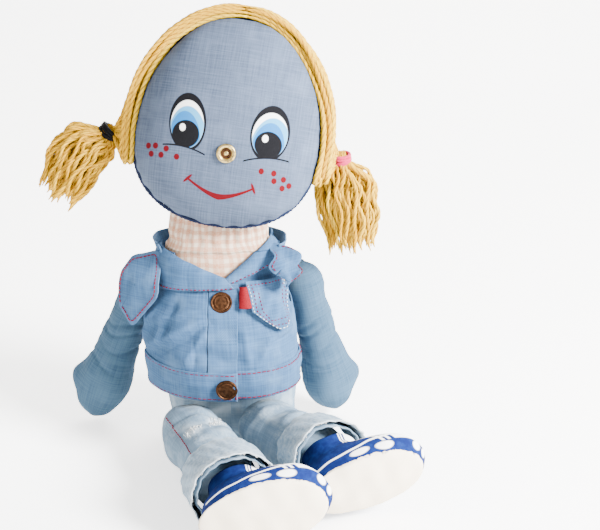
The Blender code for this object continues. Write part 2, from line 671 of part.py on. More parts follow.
def foot_outline(scale_long, scale_wide, shift, height, sides=18):
    """A shoe-shaped oval, rounder at the toe, at a height behind the sole."""
    ring = []
    for a in np.linspace(0, 2 * math.pi, sides + 1)[:-1]:
        x = FOOT_LONG / 2 * scale_long * math.cos(a) + shift
        y = FOOT_WIDE / 2 * scale_wide * math.sin(a) * (1 + 0.10 * math.cos(a))
        ring.append((x, y, height))
    return ring


def foot(side, upper_look, sole_look, fill):
    """The printed shoe: flat sole, upper with an open ankle, and stuffing."""
    frame = foot_frame(side)
    pivot = ANKLES[side]
    sole = [foot_outline(0.96, 0.94, 0.0, 0.0), foot_outline(1.0, 1.0, 0.0, -0.0012),
            foot_outline(1.0, 1.0, 0.0, -0.0036)]
    loft(f"shoe_{side}_sole", [[frame @ Vector(p) for p in ring] for ring in sole], sole_look, pivot)
    stations = ((1.0, 1.0, 0.0, -0.0040), (0.99, 0.99, -0.0002, -0.0095), (0.90, 0.92, -0.0030, -0.0160),
                (0.68, 0.82, -0.0100, -0.0215), (0.51, 0.74, -0.0160, -0.0262))
    outer = [foot_outline(*row) for row in stations]
    thin = CLOTH / (FOOT_LONG / 2)
    inner = [foot_outline(row[0] - 1.1 * thin, row[1] - 1.6 * thin, row[2], row[3]) for row in stations]
    core = [foot_outline(row[0] - 2.4 * thin, row[1] - 3.2 * thin, row[2], row[3]) for row in stations]
    core[0] = foot_outline(0.94, 0.92, 0.0, -0.0044)
    tube(f"shoe_{side}_upper", [[frame @ Vector(p) for p in ring] for ring in outer],
         [[frame @ Vector(p) for p in ring] for ring in inner], upper_look, pivot)
    loft(f"foot_{side}_stuffing", [[frame @ Vector(p) for p in ring] for ring in core], fill, pivot)


# ---------------------------------------------------------------- the doll
def build():
    """Clear the scene and make every piece."""
    for old in list(bpy.data.objects):
        bpy.data.objects.remove(old)
    denim = material("jacket_denim", DENIM)
    chambray = material("skin_chambray", CHAMBRAY)
    jeans = material("jeans_denim", JEANS)
    gingham = material("gingham", GINGHAM)
    yarn = material("yarn", YARN)
    fill = material("stuffing", FILL)
    copper = material("copper", COPPER, 0.45, 0.9)
    brass = material("brass", BRASS, 0.35, 1.0)
    white = material("shoe_white", WHITE)
    blue = material("shoe_blue", BLUE)
    torso_core(fill)
    shirt(gingham)
    neck(gingham, fill)
    jeans_seat(jeans)
    placket = jacket_body(denim)
    band = waistband(denim)
    tack_button("button_top", *BUTTONS["top"], placket, copper)
    tack_button("button_bottom", *BUTTONS["bottom"], band, copper)
    lapels(denim)
    collar(denim)
    pocket(denim, material("tab_red", RED))
    face = head_shell("face_panel", -1, chambray)
    head_shell("head_back_panel", 1, chambray)
    core = head_core(fill)
    head_piping(material("piping", BLACK))
    nose_rivet(face, core, brass)
    hair_half("hair_right", 91, 200, yarn)
    hair_half("hair_left", -20, 89, yarn)
    parting(material("thread", YARN))
    pigtail("right", "elastic_black", material("elastic_black", BLACK, 0.7), yarn)
    pigtail("left", "elastic_pink", material("elastic_pink", PINK, 0.7), yarn)
    for side in ("right", "left"):
        arm(side, chambray, fill)
        leg(side, jeans, jeans, fill)
        foot(side, blue, white, fill)


build()
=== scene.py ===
"""The looks of a seated rag doll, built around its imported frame.

Metres, +Z up.  The doll faces -Y and its left is at +X.  The shapes take their places and sizes
from the frame's nodes and joints.  The lapels' corners, the jacket's creases and the printed face
are this script's own values.  Each piece of cloth is a dense mesh of its own.
"""
import json
import math

import bpy
import numpy as np
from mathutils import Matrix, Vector


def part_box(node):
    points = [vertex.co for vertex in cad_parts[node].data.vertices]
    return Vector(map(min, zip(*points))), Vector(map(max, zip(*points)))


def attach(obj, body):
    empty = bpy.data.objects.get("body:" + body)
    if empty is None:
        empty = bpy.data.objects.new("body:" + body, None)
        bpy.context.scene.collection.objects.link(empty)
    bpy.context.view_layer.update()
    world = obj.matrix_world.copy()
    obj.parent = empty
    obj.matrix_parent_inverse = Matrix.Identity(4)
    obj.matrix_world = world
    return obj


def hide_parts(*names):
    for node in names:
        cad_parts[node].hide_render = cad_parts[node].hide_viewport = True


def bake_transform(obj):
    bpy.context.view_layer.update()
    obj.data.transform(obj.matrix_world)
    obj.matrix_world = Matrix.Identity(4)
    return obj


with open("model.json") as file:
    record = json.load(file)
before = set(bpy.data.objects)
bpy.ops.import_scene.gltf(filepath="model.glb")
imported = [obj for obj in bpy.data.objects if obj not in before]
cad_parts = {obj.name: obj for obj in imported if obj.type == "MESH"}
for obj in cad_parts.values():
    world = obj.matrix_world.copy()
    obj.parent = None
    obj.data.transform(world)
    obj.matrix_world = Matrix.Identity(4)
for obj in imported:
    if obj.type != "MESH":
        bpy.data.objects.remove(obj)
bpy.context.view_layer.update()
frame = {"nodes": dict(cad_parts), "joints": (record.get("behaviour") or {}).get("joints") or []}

JOINTS = {joint["name"]: joint for joint in frame["joints"]}
RANDOM = np.random.default_rng(7)

# ---------------------------------------------------------------- driving values
CAMERA_PLACE = (0.0541, -1.0998, 0.5407)
CAMERA_DOWN = math.radians(20)
CAMERA_LENS = 90.0
FLOOR_GLOW = 1.6              # light the floor gives off, for a background brighter than the doll

CLOTH = 0.0009                # thickness of a sheet of cloth
TORSO_SQUARE = 2.3            # exponent of the torso's cross sections
CHECK = 0.00635               # period of the gingham: one pale and one coloured stripe
YARN_R = 0.00165              # radius of a strand of yarn
YARN_TWIST = 330.0            # turn of a strand's plies, in radians per metre
STITCH = 0.0026               # length of one stitch
STITCH_GAP = 0.0012           # space between two stitches
STITCH_STEP = 0.0004          # spacing of the points that stitches are cut from
THREAD_R = 0.00042            # radius of sewing thread

# where the face is painted, across and up from the middle of the head
EYES = ((-0.0280, -0.0060, 0.0136, 0.0212, 0.14), (0.0322, -0.0050, 0.0142, 0.0205, -0.06))
FRECKLES_RIGHT = ((-0.0545, -0.0270), (-0.0490, -0.0262), (-0.0408, -0.0272), (-0.0325, -0.0320),
                  (-0.0440, -0.0322), (-0.0515, -0.0325))
FRECKLES_LEFT = ((0.0298, -0.0328), (0.0390, -0.0330), (0.0468, -0.0365), (0.0516, -0.0405),
                 (0.0400, -0.0385), (0.0468, -0.0430))
FRECKLE_R = 0.0020
MOUTH_ENDS = (-0.0225, 0.0258)
MOUTH_LOW = -0.0560
MOUTH_RISE = 0.0098

# colours, linear, for a bright room
CHAMBRAY = (0.078, 0.102, 0.150)
CHAMBRAY_DARK = (0.040, 0.054, 0.085)
ARM_BLUE = (0.048, 0.092, 0.140)
ARM_DARK = (0.024, 0.052, 0.088)
DENIM = (0.050, 0.108, 0.205)
DENIM_DARK = (0.024, 0.056, 0.112)
DENIM_PALE = (0.098, 0.180, 0.300)
JEANS = (0.150, 0.215, 0.280)
JEANS_DARK = (0.085, 0.135, 0.190)
JEANS_PALE = (0.38, 0.44, 0.48)
IVORY = (0.50, 0.41, 0.32)
PEACH = (0.33, 0.118, 0.048)
YARN = (0.46, 0.235, 0.006)
# dark yarn colour: used for fibre flecks and for the painted shade in the grooves between plies
YARN_FLECK_AND_SHADE = (0.120, 0.036, 0.003)
YARN_PALE = (0.64, 0.42, 0.030)
RED = (0.150, 0.004, 0.008)
PRINT_RED = (0.085, 0.0015, 0.0045)
NAVY = (0.012, 0.018, 0.045)
INK = (0.004, 0.004, 0.005)
SKY = (0.010, 0.125, 0.330)
SKY_EDGE = (0.060, 0.270, 0.470)
WHITE = (0.78, 0.77, 0.74)
SOLE = (0.74, 0.64, 0.50)
ROYAL = (0.003, 0.009, 0.062)
ROYAL_WORN = (0.005, 0.020, 0.105)
COPPER = (0.060, 0.026, 0.012)
BRASS = (0.58, 0.42, 0.16)
BLACK = (0.003, 0.003, 0.004)
PINK = (0.46, 0.022, 0.085)

# creases of the jacket: along and up at each end, width, height
CREASES = ((-0.004, 0.117, -0.066, 0.084, 0.0045, 0.0036), (-0.006, 0.111, -0.062, 0.079, 0.0030, -0.0030),
           (-0.010, 0.121, -0.060, 0.105, 0.0035, 0.0024), (-0.030, 0.124, -0.047, 0.086, 0.0040, -0.0020),
           (-0.008, 0.108, -0.026, 0.080, 0.0030, 0.0022), (0.012, 0.108, 0.013, 0.080, 0.0035, 0.0022),
           (0.030, 0.098, 0.062, 0.104, 0.0040, 0.0028), (0.028, 0.093, 0.060, 0.097, 0.0030, -0.0022),
           (0.030, 0.097, 0.018, 0.080, 0.0035, 0.0022), (0.040, 0.090, 0.052, 0.080, 0.0030, -0.0018),
           (-0.055, 0.112, -0.070, 0.086, 0.0040, 0.0024), (-0.016, 0.098, -0.018, 0.079, 0.0026, -0.0018))
CREASE_GAIN = 1.35            # how much deeper than its row each crease is
SIDE_SPAN = 0.048             # length along the jacket for one radian of turn
SHIRT_SPAN = 0.046            # the same for the gingham
SEAT_SPAN = 0.045             # the same for the jeans seat and the collar stand
FLARE = 0.0095                # how far the jacket stands off at the doll's right
POCKET_RISE = 0.0050          # how far the pocket is above the frame's
TAB_RISE = 0.0075             # how far the tab is above the frame's
WING_BACK = 0.022             # how far a collar wing's top lies back
WING_SLOPE = math.tan(math.radians(20))   # how far it sinks for each metre it lies back
NECK_RISE = 0.036             # how far the neck goes up into the head
ARMHOLE_Z = 0.098             # height at which the armholes start
ARMHOLE_PAD = 0.40            # radians by which the armholes are narrower than the frame's
LEG_END = 0.90                # share of a leg's length at which its cover closes in the cuff
LEG_COLUMNS = 132             # points round a leg
ARM_COLUMNS = 120             # points round an arm
THUMB_TURN = 0.35             # how far round from the outer side the thumb is, in radians
FRAY_PLACES = (0.34, 0.40)    # shares of the right leg's length at which it is frayed
FRAY_TURNS = (1.2, 2.0)       # where round the leg those spots are, in radians
FOOT_TUCK = 0.012             # how far a shoe's top goes on up into the cuff
CAP_TURN = 0.98               # how far round the shoe its toe cap goes, in radians
TOE_DOME = 0.0065             # how far the upper bulges up at the toe
TOE_DOME_TURN = 0.75          # where round the shoe, in radians from the toe


# ---------------------------------------------------------------- numbers and points
def ease(value):
    """0 to 1 with a soft start and end."""
    part = np.clip(value, 0.0, 1.0)
    return part * part * (3 - 2 * part)


def power(value, exponent):
    return np.sign(value) * np.abs(value) ** exponent


def through(x, xs, ys):
    """Values at x on a smooth curve through the points (xs, ys)."""
    xs, ys = np.asarray(xs, float), np.asarray(ys, float)
    x = np.asarray(x, float)
    slopes = np.gradient(ys, xs, axis=0)
    k = np.clip(np.searchsorted(xs, x) - 1, 0, len(xs) - 2)
    wide = xs[k + 1] - xs[k]
    t = np.clip((x - xs[k]) / wide, 0.0, 1.0)
    if ys.ndim > 1:
        t, wide = t[..., None], wide[..., None]
    t2, t3 = t * t, t * t * t
    return ((2 * t3 - 3 * t2 + 1) * ys[k] + (t3 - 2 * t2 + t) * wide * slopes[k]
            + (3 * t2 - 2 * t3) * ys[k + 1] + (t3 - t2) * wide * slopes[k + 1])


def unit(vector):
    return vector / np.linalg.norm(vector)


def principal(cloud):
    """The middle of a cloud of points, with its long, middle and short directions."""
    middle = cloud.mean(axis=0)
    _, _, ways = np.linalg.svd(cloud - middle, full_matrices=False)
    return middle, ways


def along_path(path):
    """Distance along a path at each of its points."""
    return np.concatenate([[0], np.cumsum(np.linalg.norm(np.diff(path, axis=0), axis=1))])


def circle(count):
    """Angles of count points round a circle."""
    return np.linspace(0, 2 * math.pi, count + 1)[:-1]


def wrap_angle(angle):
    """The same angle from -pi to pi."""
    return (angle + math.pi) % (2 * math.pi) - math.pi


def points_of(*names):
    """The vertices of CAD nodes, in the row frame."""
    return np.array([v.co for n in names for v in frame["nodes"][n].data.vertices], float)


def groups(values, gap):
    """Lists of the indices of values that lie within gap of each other in order."""
    order = np.argsort(values)
    cuts = np.where(np.diff(values[order]) > gap)[0] + 1
    return np.split(order, cuts)


def slices(cloud, axis, gap):
    """The rings of a cloud of points, in order along an axis, each with its least and greatest."""
    for group in groups(cloud[:, axis], gap):
        ring = cloud[group]
        yield ring, ring.min(axis=0), ring.max(axis=0)


def ripple(points, size, seed, count=7):
    """Soft noise, about -1 to 1, whose waves are about size long."""
    draw = np.random.default_rng(seed)
    total = np.zeros(np.shape(points)[:-1])
    for _ in range(count):
        way = draw.normal(size=3)
        way /= np.linalg.norm(way)
        pace = 2 * math.pi / size * draw.uniform(0.6, 1.5)
        total += np.cos(points @ way * pace + draw.uniform(0, 2 * math.pi))
    return total / math.sqrt(count)


def crease(along, up, line):
    """A ridge or valley along a line in the unrolled cloth, fading at its ends."""
    x0, z0, x1, z1, wide, deep = line
    way = np.array((x1 - x0, z1 - z0))
    t = np.clip(((along - x0) * way[0] + (up - z0) * way[1]) / (way @ way), 0.0, 1.0)
    away = np.hypot(along - x0 - t * way[0], up - z0 - t * way[1])
    return deep * np.exp(-(away / wide) ** 1.5) * np.sin(math.pi * np.clip(t, 0.05, 0.95)) ** 0.5


def at_rest(points):
    """The same points, with none below the floor: soft pieces go flat where they lie on it."""
    settled = np.array(points)
    settled[..., 2] = np.maximum(settled[..., 2], 0.0)
    return settled


def normals_of(grid):
    """Unit normals of a grid of points."""
    down = np.gradient(grid, axis=0)
    across = np.gradient(grid, axis=1)
    out = np.cross(across, down)
    return out / np.maximum(np.linalg.norm(out, axis=-1, keepdims=True), 1e-9)


# ---------------------------------------------------------------- meshes
def placed(name, data):
    """A new object in the scene."""
    made = bpy.data.objects.new(name, data)
    bpy.context.scene.collection.objects.link(made)
    return made


def add_mark(mesh, name, values):
    """A number for each vertex that the materials read."""
    attribute = mesh.attributes.new(name, 'FLOAT', 'POINT')
    attribute.data.foreach_set("value", values.astype(np.float32))


def skin(name, grid, look, closed=False, ends=(False, False), uv=None, marks=None, thick=0.0):
    """A mesh from a grid of points; closed joins its first and last columns, ends cap its rows."""
    rows, columns = grid.shape[:2]
    grid = at_rest(grid)
    points = grid.reshape(-1, 3).tolist()
    step = np.arange(columns if closed else columns - 1)
    nxt = (step + 1) % columns
    faces = []
    corners = []
    for r in range(rows - 1):
        low, high = r * columns, (r + 1) * columns
        faces += np.stack([low + step, low + nxt, high + nxt, high + step], axis=1).tolist()
        if uv is not None:
            block = np.stack([uv[r, step], uv[r, step + 1], uv[r + 1, step + 1], uv[r + 1, step]], axis=1)
            corners.append(block.reshape(-1, 2))
    extra = []
    for last, wanted in zip((False, True), ends):
        if not wanted:
            continue
        row = rows - 1 if last else 0
        middle = len(points)
        points.append(grid[row].mean(axis=0).tolist())
        extra.append(row * columns)
        for k, n in zip(step, nxt):
            edge = (row * columns + k, row * columns + n)
            faces.append((edge[0], edge[1], middle) if last else (edge[1], edge[0], middle))
            if uv is not None:
                pair = uv[row, k], uv[row, k + 1]
                centre = uv[row].mean(axis=0)
                corners.append(np.array((*pair, centre) if last else (pair[1], pair[0], centre)))
    mesh = bpy.data.meshes.new(name)
    mesh.from_pydata(points, [], [tuple(int(k) for k in face) for face in faces])
    if uv is not None:
        layer = mesh.uv_layers.new(name="cloth")
        layer.data.foreach_set("uv", np.concatenate(corners).astype(np.float32).ravel())
    for mark, values in (marks or {}).items():
        flat = np.ravel(values)
        add_mark(mesh, mark, np.concatenate([flat, np.take(flat, extra)]) if extra else flat)
    mesh.shade_smooth()
    mesh.materials.append(look)
    piece = placed(name, mesh)
    if thick:
        solid = piece.modifiers.new("thickness", 'SOLIDIFY')
        solid.thickness = thick
        solid.offset = 0.0
    return piece


def frames_along(path):
    """Two directions across a path at each of its points, turning as little as they can."""
    tangents = np.gradient(path, axis=0)
    tangents /= np.maximum(np.linalg.norm(tangents, axis=1, keepdims=True), 1e-12)
    start = np.array((0.0, 0.0, 1.0)) if abs(tangents[0][2]) < 0.9 else np.array((1.0, 0.0, 0.0))
    first, now = [], start
    for tangent in tangents:
        now = unit(now - tangent * (now @ tangent))
        first.append(now)
    first = np.array(first)
    return first, np.cross(tangents, first)


class Strands:
    """Tubes along paths, gathered into one mesh with a tone for each tube and a groove mark that the yarn
    reads for its painted shade.
    """

    def __init__(self):
        self.points, self.faces, self.tones, self.grooves, self.count = [], [], [], [], 0

    def add(self, path, radius, sides=8, lobes=0, deep=0.0, twist=0.0, tone=0.5, taper=0.0):
        path = np.asarray(path, float)
        first, second = frames_along(path)
        run = along_path(path)
        turn = circle(sides)
        wave = np.cos(lobes * (turn[None, :] - twist * run[:, None])) * (1.0 if lobes else 0.0)
        share = np.minimum(run, run[-1] - run) / max(run[-1], 1e-9)
        slim = 1 - taper * (1 - ease(share / 0.08))
        size = radius * slim[:, None] * (1 + deep * wave)
        grid = (path[:, None] + first[:, None] * (size * np.cos(turn))[..., None]
                + second[:, None] * (size * np.sin(turn))[..., None])
        rows = len(path)
        k = np.arange(sides)
        for r in range(rows - 1):
            low = self.count + r * sides
            self.faces += np.stack([low + k, low + (k + 1) % sides, low + sides + (k + 1) % sides,
                                    low + sides + k], axis=1).tolist()
        self.faces.append([self.count + n for n in reversed(range(sides))])
        self.faces.append([self.count + (rows - 1) * sides + n for n in range(sides)])
        self.points.append(grid.reshape(-1, 3))
        self.tones.append(np.full(rows * sides, tone))
        self.grooves.append((0.5 + 0.5 * wave).ravel())
        self.count += rows * sides

    def piece(self, name, look):
        mesh = bpy.data.meshes.new(name)
        mesh.from_pydata(at_rest(np.concatenate(self.points)).tolist(), [], self.faces)
        for mark, values in (("tone", self.tones), ("groove", self.grooves)):
            add_mark(mesh, mark, np.concatenate(values))
        mesh.shade_smooth()
        mesh.materials.append(look)
        return placed(name, mesh)


def resample(path, spacing):
    """The same path with points an even distance apart."""
    path = np.asarray(path, float)
    run = along_path(path)
    count = max(3, int(round(run[-1] / spacing)) + 1)
    at = np.linspace(0, run[-1], count)
    return np.stack([np.interp(at, run, path[:, k]) for k in range(3)], axis=1)


def stitch_line(strands, path, lift=0.0, length=STITCH, gap=STITCH_GAP, radius=THREAD_R):
    """Separate stitches along a path; each dips into the cloth at its ends."""
    fine = resample(path, STITCH_STEP)
    run = np.arange(len(fine)) * STITCH_STEP
    start = gap / 2
    while start + length < run[-1]:
        pick = fine[(run >= start) & (run <= start + length)]
        if len(pick) > 3:
            strands.add(pick + lift, radius, sides=6, taper=0.5)
        start += length + gap


def wear(piece, body, slot, *nodes):
    """Ride on a body and stand for CAD nodes; slot is not used."""
    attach(piece, body)
    if nodes:
        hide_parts(*nodes)
    return piece


def dress(node, look):
    """Give a CAD node that stays in view its material."""
    materials = frame["nodes"][node].data.materials
    materials.clear()
    materials.append(LOOKS[look])


def sewn(strands, name, body="torso", look="red_thread"):
    """Stitches or loose threads as one piece."""
    wear(strands.piece(name, LOOKS[look]), body, "thread")


# ---------------------------------------------------------------- materials
class Shade:
    """A material's nodes, made one call at a time."""

    def __init__(self, name, roughness=0.9, metallic=0.0):
        self.look = bpy.data.materials.new(name)
        self.look.use_nodes = True
        self.tree = self.look.node_tree
        self.shader = self.tree.nodes["Principled BSDF"]
        self.shader.inputs["Roughness"].default_value = roughness
        self.shader.inputs["Metallic"].default_value = metallic
        self.shader.inputs["Specular IOR Level"].default_value = 0.08 if metallic < 0.5 else 0.5

    def put(self, socket, value):
        if isinstance(value, bpy.types.NodeSocket):
            self.tree.links.new(value, socket)
        elif isinstance(value, (tuple, list)) and len(value) == 3 and len(socket.default_value) == 4:
            socket.default_value = (*value, 1.0)
        else:
            socket.default_value = value

    def math(self, kind, a, b=0.0):
        node = self.tree.nodes.new("ShaderNodeMath")
        node.operation = kind
        self.put(node.inputs[0], a)
        self.put(node.inputs[1], b)
        return node.outputs[0]

    def times(self, a, b):
        return self.math('MULTIPLY', a, b)

    def plus(self, a, b):
        return self.math('ADD', a, b)

    def minus(self, a, b):
        return self.math('SUBTRACT', a, b)

    def mix(self, amount, first, second):
        node = self.tree.nodes.new("ShaderNodeMix")
        node.data_type = 'RGBA'
        self.put(node.inputs[0], amount)
        self.put(node.inputs[6], first)
        self.put(node.inputs[7], second)
        return node.outputs[2]

    def uv(self):
        node = self.tree.nodes.new("ShaderNodeUVMap")
        node.uv_map = "cloth"
        return node.outputs[0]

    def place(self):
        return self.tree.nodes.new("ShaderNodeTexCoord").outputs["Object"]

    def mark(self, name):
        node = self.tree.nodes.new("ShaderNodeAttribute")
        node.attribute_name = name
        return node.outputs["Fac"]

    def moved(self, vector, centre=(0, 0, 0), turn=0.0, scale=(1, 1, 1)):
        node = self.tree.nodes.new("ShaderNodeMapping")
        node.vector_type = 'TEXTURE'
        self.put(node.inputs["Vector"], vector)
        node.inputs["Location"].default_value = centre
        node.inputs["Rotation"].default_value = (0, 0, turn)
        node.inputs["Scale"].default_value = scale
        return node.outputs[0]

    def noise(self, vector, stretch=(1, 1, 1), detail=2.0):
        node = self.tree.nodes.new("ShaderNodeTexNoise")
        node.inputs["Scale"].default_value = 1.0
        node.inputs["Detail"].default_value = detail
        self.put(node.inputs["Vector"], self.moved(vector, scale=stretch))
        return node.outputs["Fac"]

    def ramp(self, value, low, high):
        """0 below low and 1 above high."""
        node = self.tree.nodes.new("ShaderNodeMapRange")
        self.put(node.inputs["Value"], value)
        node.inputs["From Min"].default_value = low
        node.inputs["From Max"].default_value = high
        return node.outputs[0]

    def oval(self, vector, centre, size, turn=0.0, soft=0.00022):
        """1 inside an oval and 0 outside."""
        node = self.tree.nodes.new("ShaderNodeVectorMath")
        node.operation = 'LENGTH'
        self.put(node.inputs[0], self.moved(vector, (*centre, 0), turn, (*size, 1)))
        edge = soft / min(size)
        return self.ramp(node.outputs["Value"], 1 + edge, 1 - edge)

    def split(self, vector):
        node = self.tree.nodes.new("ShaderNodeSeparateXYZ")
        self.put(node.inputs[0], vector)
        return node.outputs[0], node.outputs[1]

    def bump(self, height, distance, strength=1.0):
        node = self.tree.nodes.new("ShaderNodeBump")
        node.inputs["Strength"].default_value = strength
        node.inputs["Distance"].default_value = distance
        self.put(node.inputs["Height"], height)
        self.tree.links.new(node.outputs[0], self.shader.inputs["Normal"])

    def finish(self, colour):
        self.put(self.shader.inputs["Base Color"], colour)
        return self.look


def weave(shade, uv, base, dark, pale, diagonal=False, streak=0.55):
    """The colour and the thread bump of a woven cloth, with slubs along both its threads."""
    warp = shade.noise(uv, (0.0011, 0.030, 1), 3)
    weft = shade.noise(uv, (0.026, 0.0010, 1), 3)
    cloud = shade.noise(uv, (0.022, 0.022, 1), 3)
    threads = shade.times(shade.plus(warp, weft), 0.5)
    tone = shade.ramp(threads, 0.5 - 0.12 / streak * 0.5, 0.5 + 0.12 / streak * 0.5)
    colour = shade.mix(tone, dark, base)
    colour = shade.mix(shade.times(shade.ramp(cloud, 0.50, 0.85), 0.7), colour, pale)
    across, along = shade.split(uv)
    pitch = 2 * math.pi / 0.0007
    if diagonal:
        wave = shade.math('SINE', shade.times(shade.plus(across, along), pitch * 0.7))
    else:
        wave = shade.times(shade.math('SINE', shade.times(across, pitch)),
                          shade.math('SINE', shade.times(along, pitch)))
    shade.bump(shade.plus(shade.times(wave, 0.35), threads), 0.00035, 0.6)
    return colour


def chambray(name, base, dark):
    shade = Shade(name, 0.92)
    pale = tuple(min(1.0, c * 1.22) for c in base)
    return shade.finish(weave(shade, shade.uv(), base, dark, pale, streak=0.35))


def denim(name, base, dark, pale, worn=True):
    """Washed denim, paler where it is marked as worn."""
    shade = Shade(name, 0.93)
    colour = weave(shade, shade.uv(), base, dark, pale, diagonal=True, streak=0.32)
    if worn:
        rough = shade.times(shade.mark("worn"), shade.noise(shade.uv(), (0.002, 0.003, 1), 3))
        colour = shade.mix(shade.ramp(rough, 0.16, 0.62), colour, pale)
    return shade.finish(colour)


def gingham():
    """Small checks: two sets of stripes that darken where they cross."""
    shade = Shade("gingham", 0.92)
    across, along = shade.split(shade.uv())
    stripes = []
    for run in (across, along):
        wave = shade.math('SINE', shade.times(run, 2 * math.pi / CHECK))
        stripes.append(shade.minus(1.0, shade.times(shade.ramp(wave, -0.3, 0.3), 0.52)))
    both = shade.minus(1.0, shade.times(stripes[0], stripes[1]))
    slub = shade.noise(shade.uv(), (0.0012, 0.0012, 1), 3)
    amount = shade.times(both, shade.ramp(slub, -0.1, 0.55))
    shade.bump(slub, 0.0003, 0.5)
    return shade.finish(shade.mix(amount, IVORY, PEACH))


def yarn(name, base, dark, pale):
    """Twisted wool with painted shade in the grooves between its plies, each strand a little different."""
    shade = Shade(name, 0.95)
    fibre = shade.noise(shade.place(), (0.0009, 0.0009, 0.0009), 3)
    colour = shade.mix(shade.mark("tone"), base, pale)
    colour = shade.mix(shade.times(shade.ramp(fibre, 0.35, 0.75), 0.35), colour, dark)
    # painted shade: darker in the grooves between the plies
    colour = shade.mix(shade.ramp(shade.mark("groove"), 0.45, 0.0), colour, dark)
    shade.bump(fibre, 0.0006, 0.8)
    return shade.finish(colour)


def thread(name, colour, roughness=0.8):
    shade = Shade(name, roughness)
    grain = shade.noise(shade.place(), (0.0006, 0.0006, 0.0006), 2)
    dark = tuple(c * 0.55 for c in colour)
    shade.bump(grain, 0.0003, 0.6)
    return shade.finish(shade.mix(shade.ramp(grain, 0.35, 0.7), colour, dark))


def metal(name, colour, roughness):
    """Old metal with stained patches and fine scratches."""
    shade = Shade(name, roughness, metallic=1.0)
    stain = shade.noise(shade.place(), (0.0022, 0.0022, 0.0022), 4)
    dark = tuple(c * 0.38 for c in colour)
    scratch = shade.noise(shade.place(), (0.0003, 0.004, 0.0006), 2)
    shade.put(shade.shader.inputs["Roughness"], shade.plus(shade.times(stain, 0.3), roughness - 0.1))
    shade.bump(scratch, 0.0001, 0.4)
    return shade.finish(shade.mix(shade.ramp(stain, 0.42, 0.62), colour, dark))


def painted_face():
    """Chambray with a cartoon face printed on it."""
    shade = Shade("face_print", 0.90)
    uv = shade.uv()
    pale = tuple(min(1.0, c * 1.22) for c in CHAMBRAY)
    colour = weave(shade, uv, CHAMBRAY, CHAMBRAY_DARK, pale, streak=0.35)
    across, up = shade.split(uv)
    front = shade.mark("front")
    for side, (x, z, wide, high, turn) in zip((-1, 1), EYES):
        lid = lid_height(shade, across, up, side, x, z)
        above = shade.times(shade.ramp(lid, -0.00020, 0.00020), front)
        rim = shade.oval(uv, (x, z), (wide, high), turn)
        white = shade.oval(uv, (x, z - 0.0014), (wide - 0.0016, high - 0.0040), turn)
        soft_sky = shade.oval(uv, (x + 0.0012, z - 0.0112), (wide + 0.0002, 0.0228), turn)
        sky = shade.oval(uv, (x - 0.0004, z - 0.0122), (wide - 0.0024, 0.0200), turn)
        pupil = shade.oval(uv, (x - 0.0002, z - 0.0086), (0.0099, 0.0099), turn)
        spark = shade.oval(uv, (x - 0.0030, z - 0.0042), (0.0022, 0.0027), turn)
        soft_sky = shade.times(soft_sky, white)
        sky = shade.times(sky, white)
        for mask, paint in ((rim, INK), (white, WHITE), (soft_sky, SKY_EDGE), (sky, SKY), (pupil, INK),
                            (spark, WHITE)):
            colour = shade.mix(shade.times(mask, above), colour, paint)
        line = lid_line(shade, across, lid, x, wide)
        colour = shade.mix(shade.times(line, front), colour, INK)
    for x, z in FRECKLES_RIGHT + FRECKLES_LEFT:
        spot = shade.oval(uv, (x, z), (FRECKLE_R, FRECKLE_R * 1.12))
        colour = shade.mix(shade.times(spot, front), colour, PRINT_RED)
    colour = shade.mix(shade.times(mouth(shade, uv, across, up), front), colour, PRINT_RED)
    return shade.finish(colour)


def lid_height(shade, across, up, side, x, z):
    """Height above the curved line under an eye."""
    off = shade.minus(across, x)
    slope = 0.10 if side < 0 else 0.14
    tilt = shade.times(off, -slope if side < 0 else slope)
    bow = shade.times(shade.times(off, off), -9.0)
    base = z - 0.0178
    line = shade.plus(shade.plus(tilt, bow), base)
    return shade.minus(up, line)


def lid_line(shade, across, height, x, wide):
    """The thin line under an eye, a little longer than the eye is wide."""
    thin = shade.ramp(shade.math('ABSOLUTE', height), 0.00075, 0.00045)
    ends = shade.math('ABSOLUTE', shade.minus(across, x))
    return shade.times(thin, shade.ramp(ends, wide + 0.0026, wide + 0.0018))


def mouth(shade, uv, across, up):
    """A smile, thick in the middle, with a short tick at each end."""
    low, high = MOUTH_ENDS
    middle, half = (low + high) / 2, (high - low) / 2
    part = shade.math('DIVIDE', shade.minus(across, middle), half)
    far = shade.math('ABSOLUTE', part)
    bent = shade.math('POWER', far, 1.55)
    line = shade.plus(shade.times(bent, MOUTH_RISE), MOUTH_LOW)
    near = shade.math('ABSOLUTE', shade.minus(up, line))
    fuller = shade.math('POWER', shade.minus(1.0, far), 1.6)
    thick = shade.plus(shade.times(fuller, 0.0013), 0.00090)
    body = shade.ramp(shade.minus(near, thick), 0.0002, -0.0002)
    body = shade.times(body, shade.ramp(far, 1.01, 0.99))
    top = MOUTH_LOW + MOUTH_RISE
    for x, turn in ((low, -0.75), (high, 0.45)):
        tick = shade.oval(uv, (x, top), (0.00105, 0.0042), turn)
        body = shade.math('MAXIMUM', body, tick)
    return body


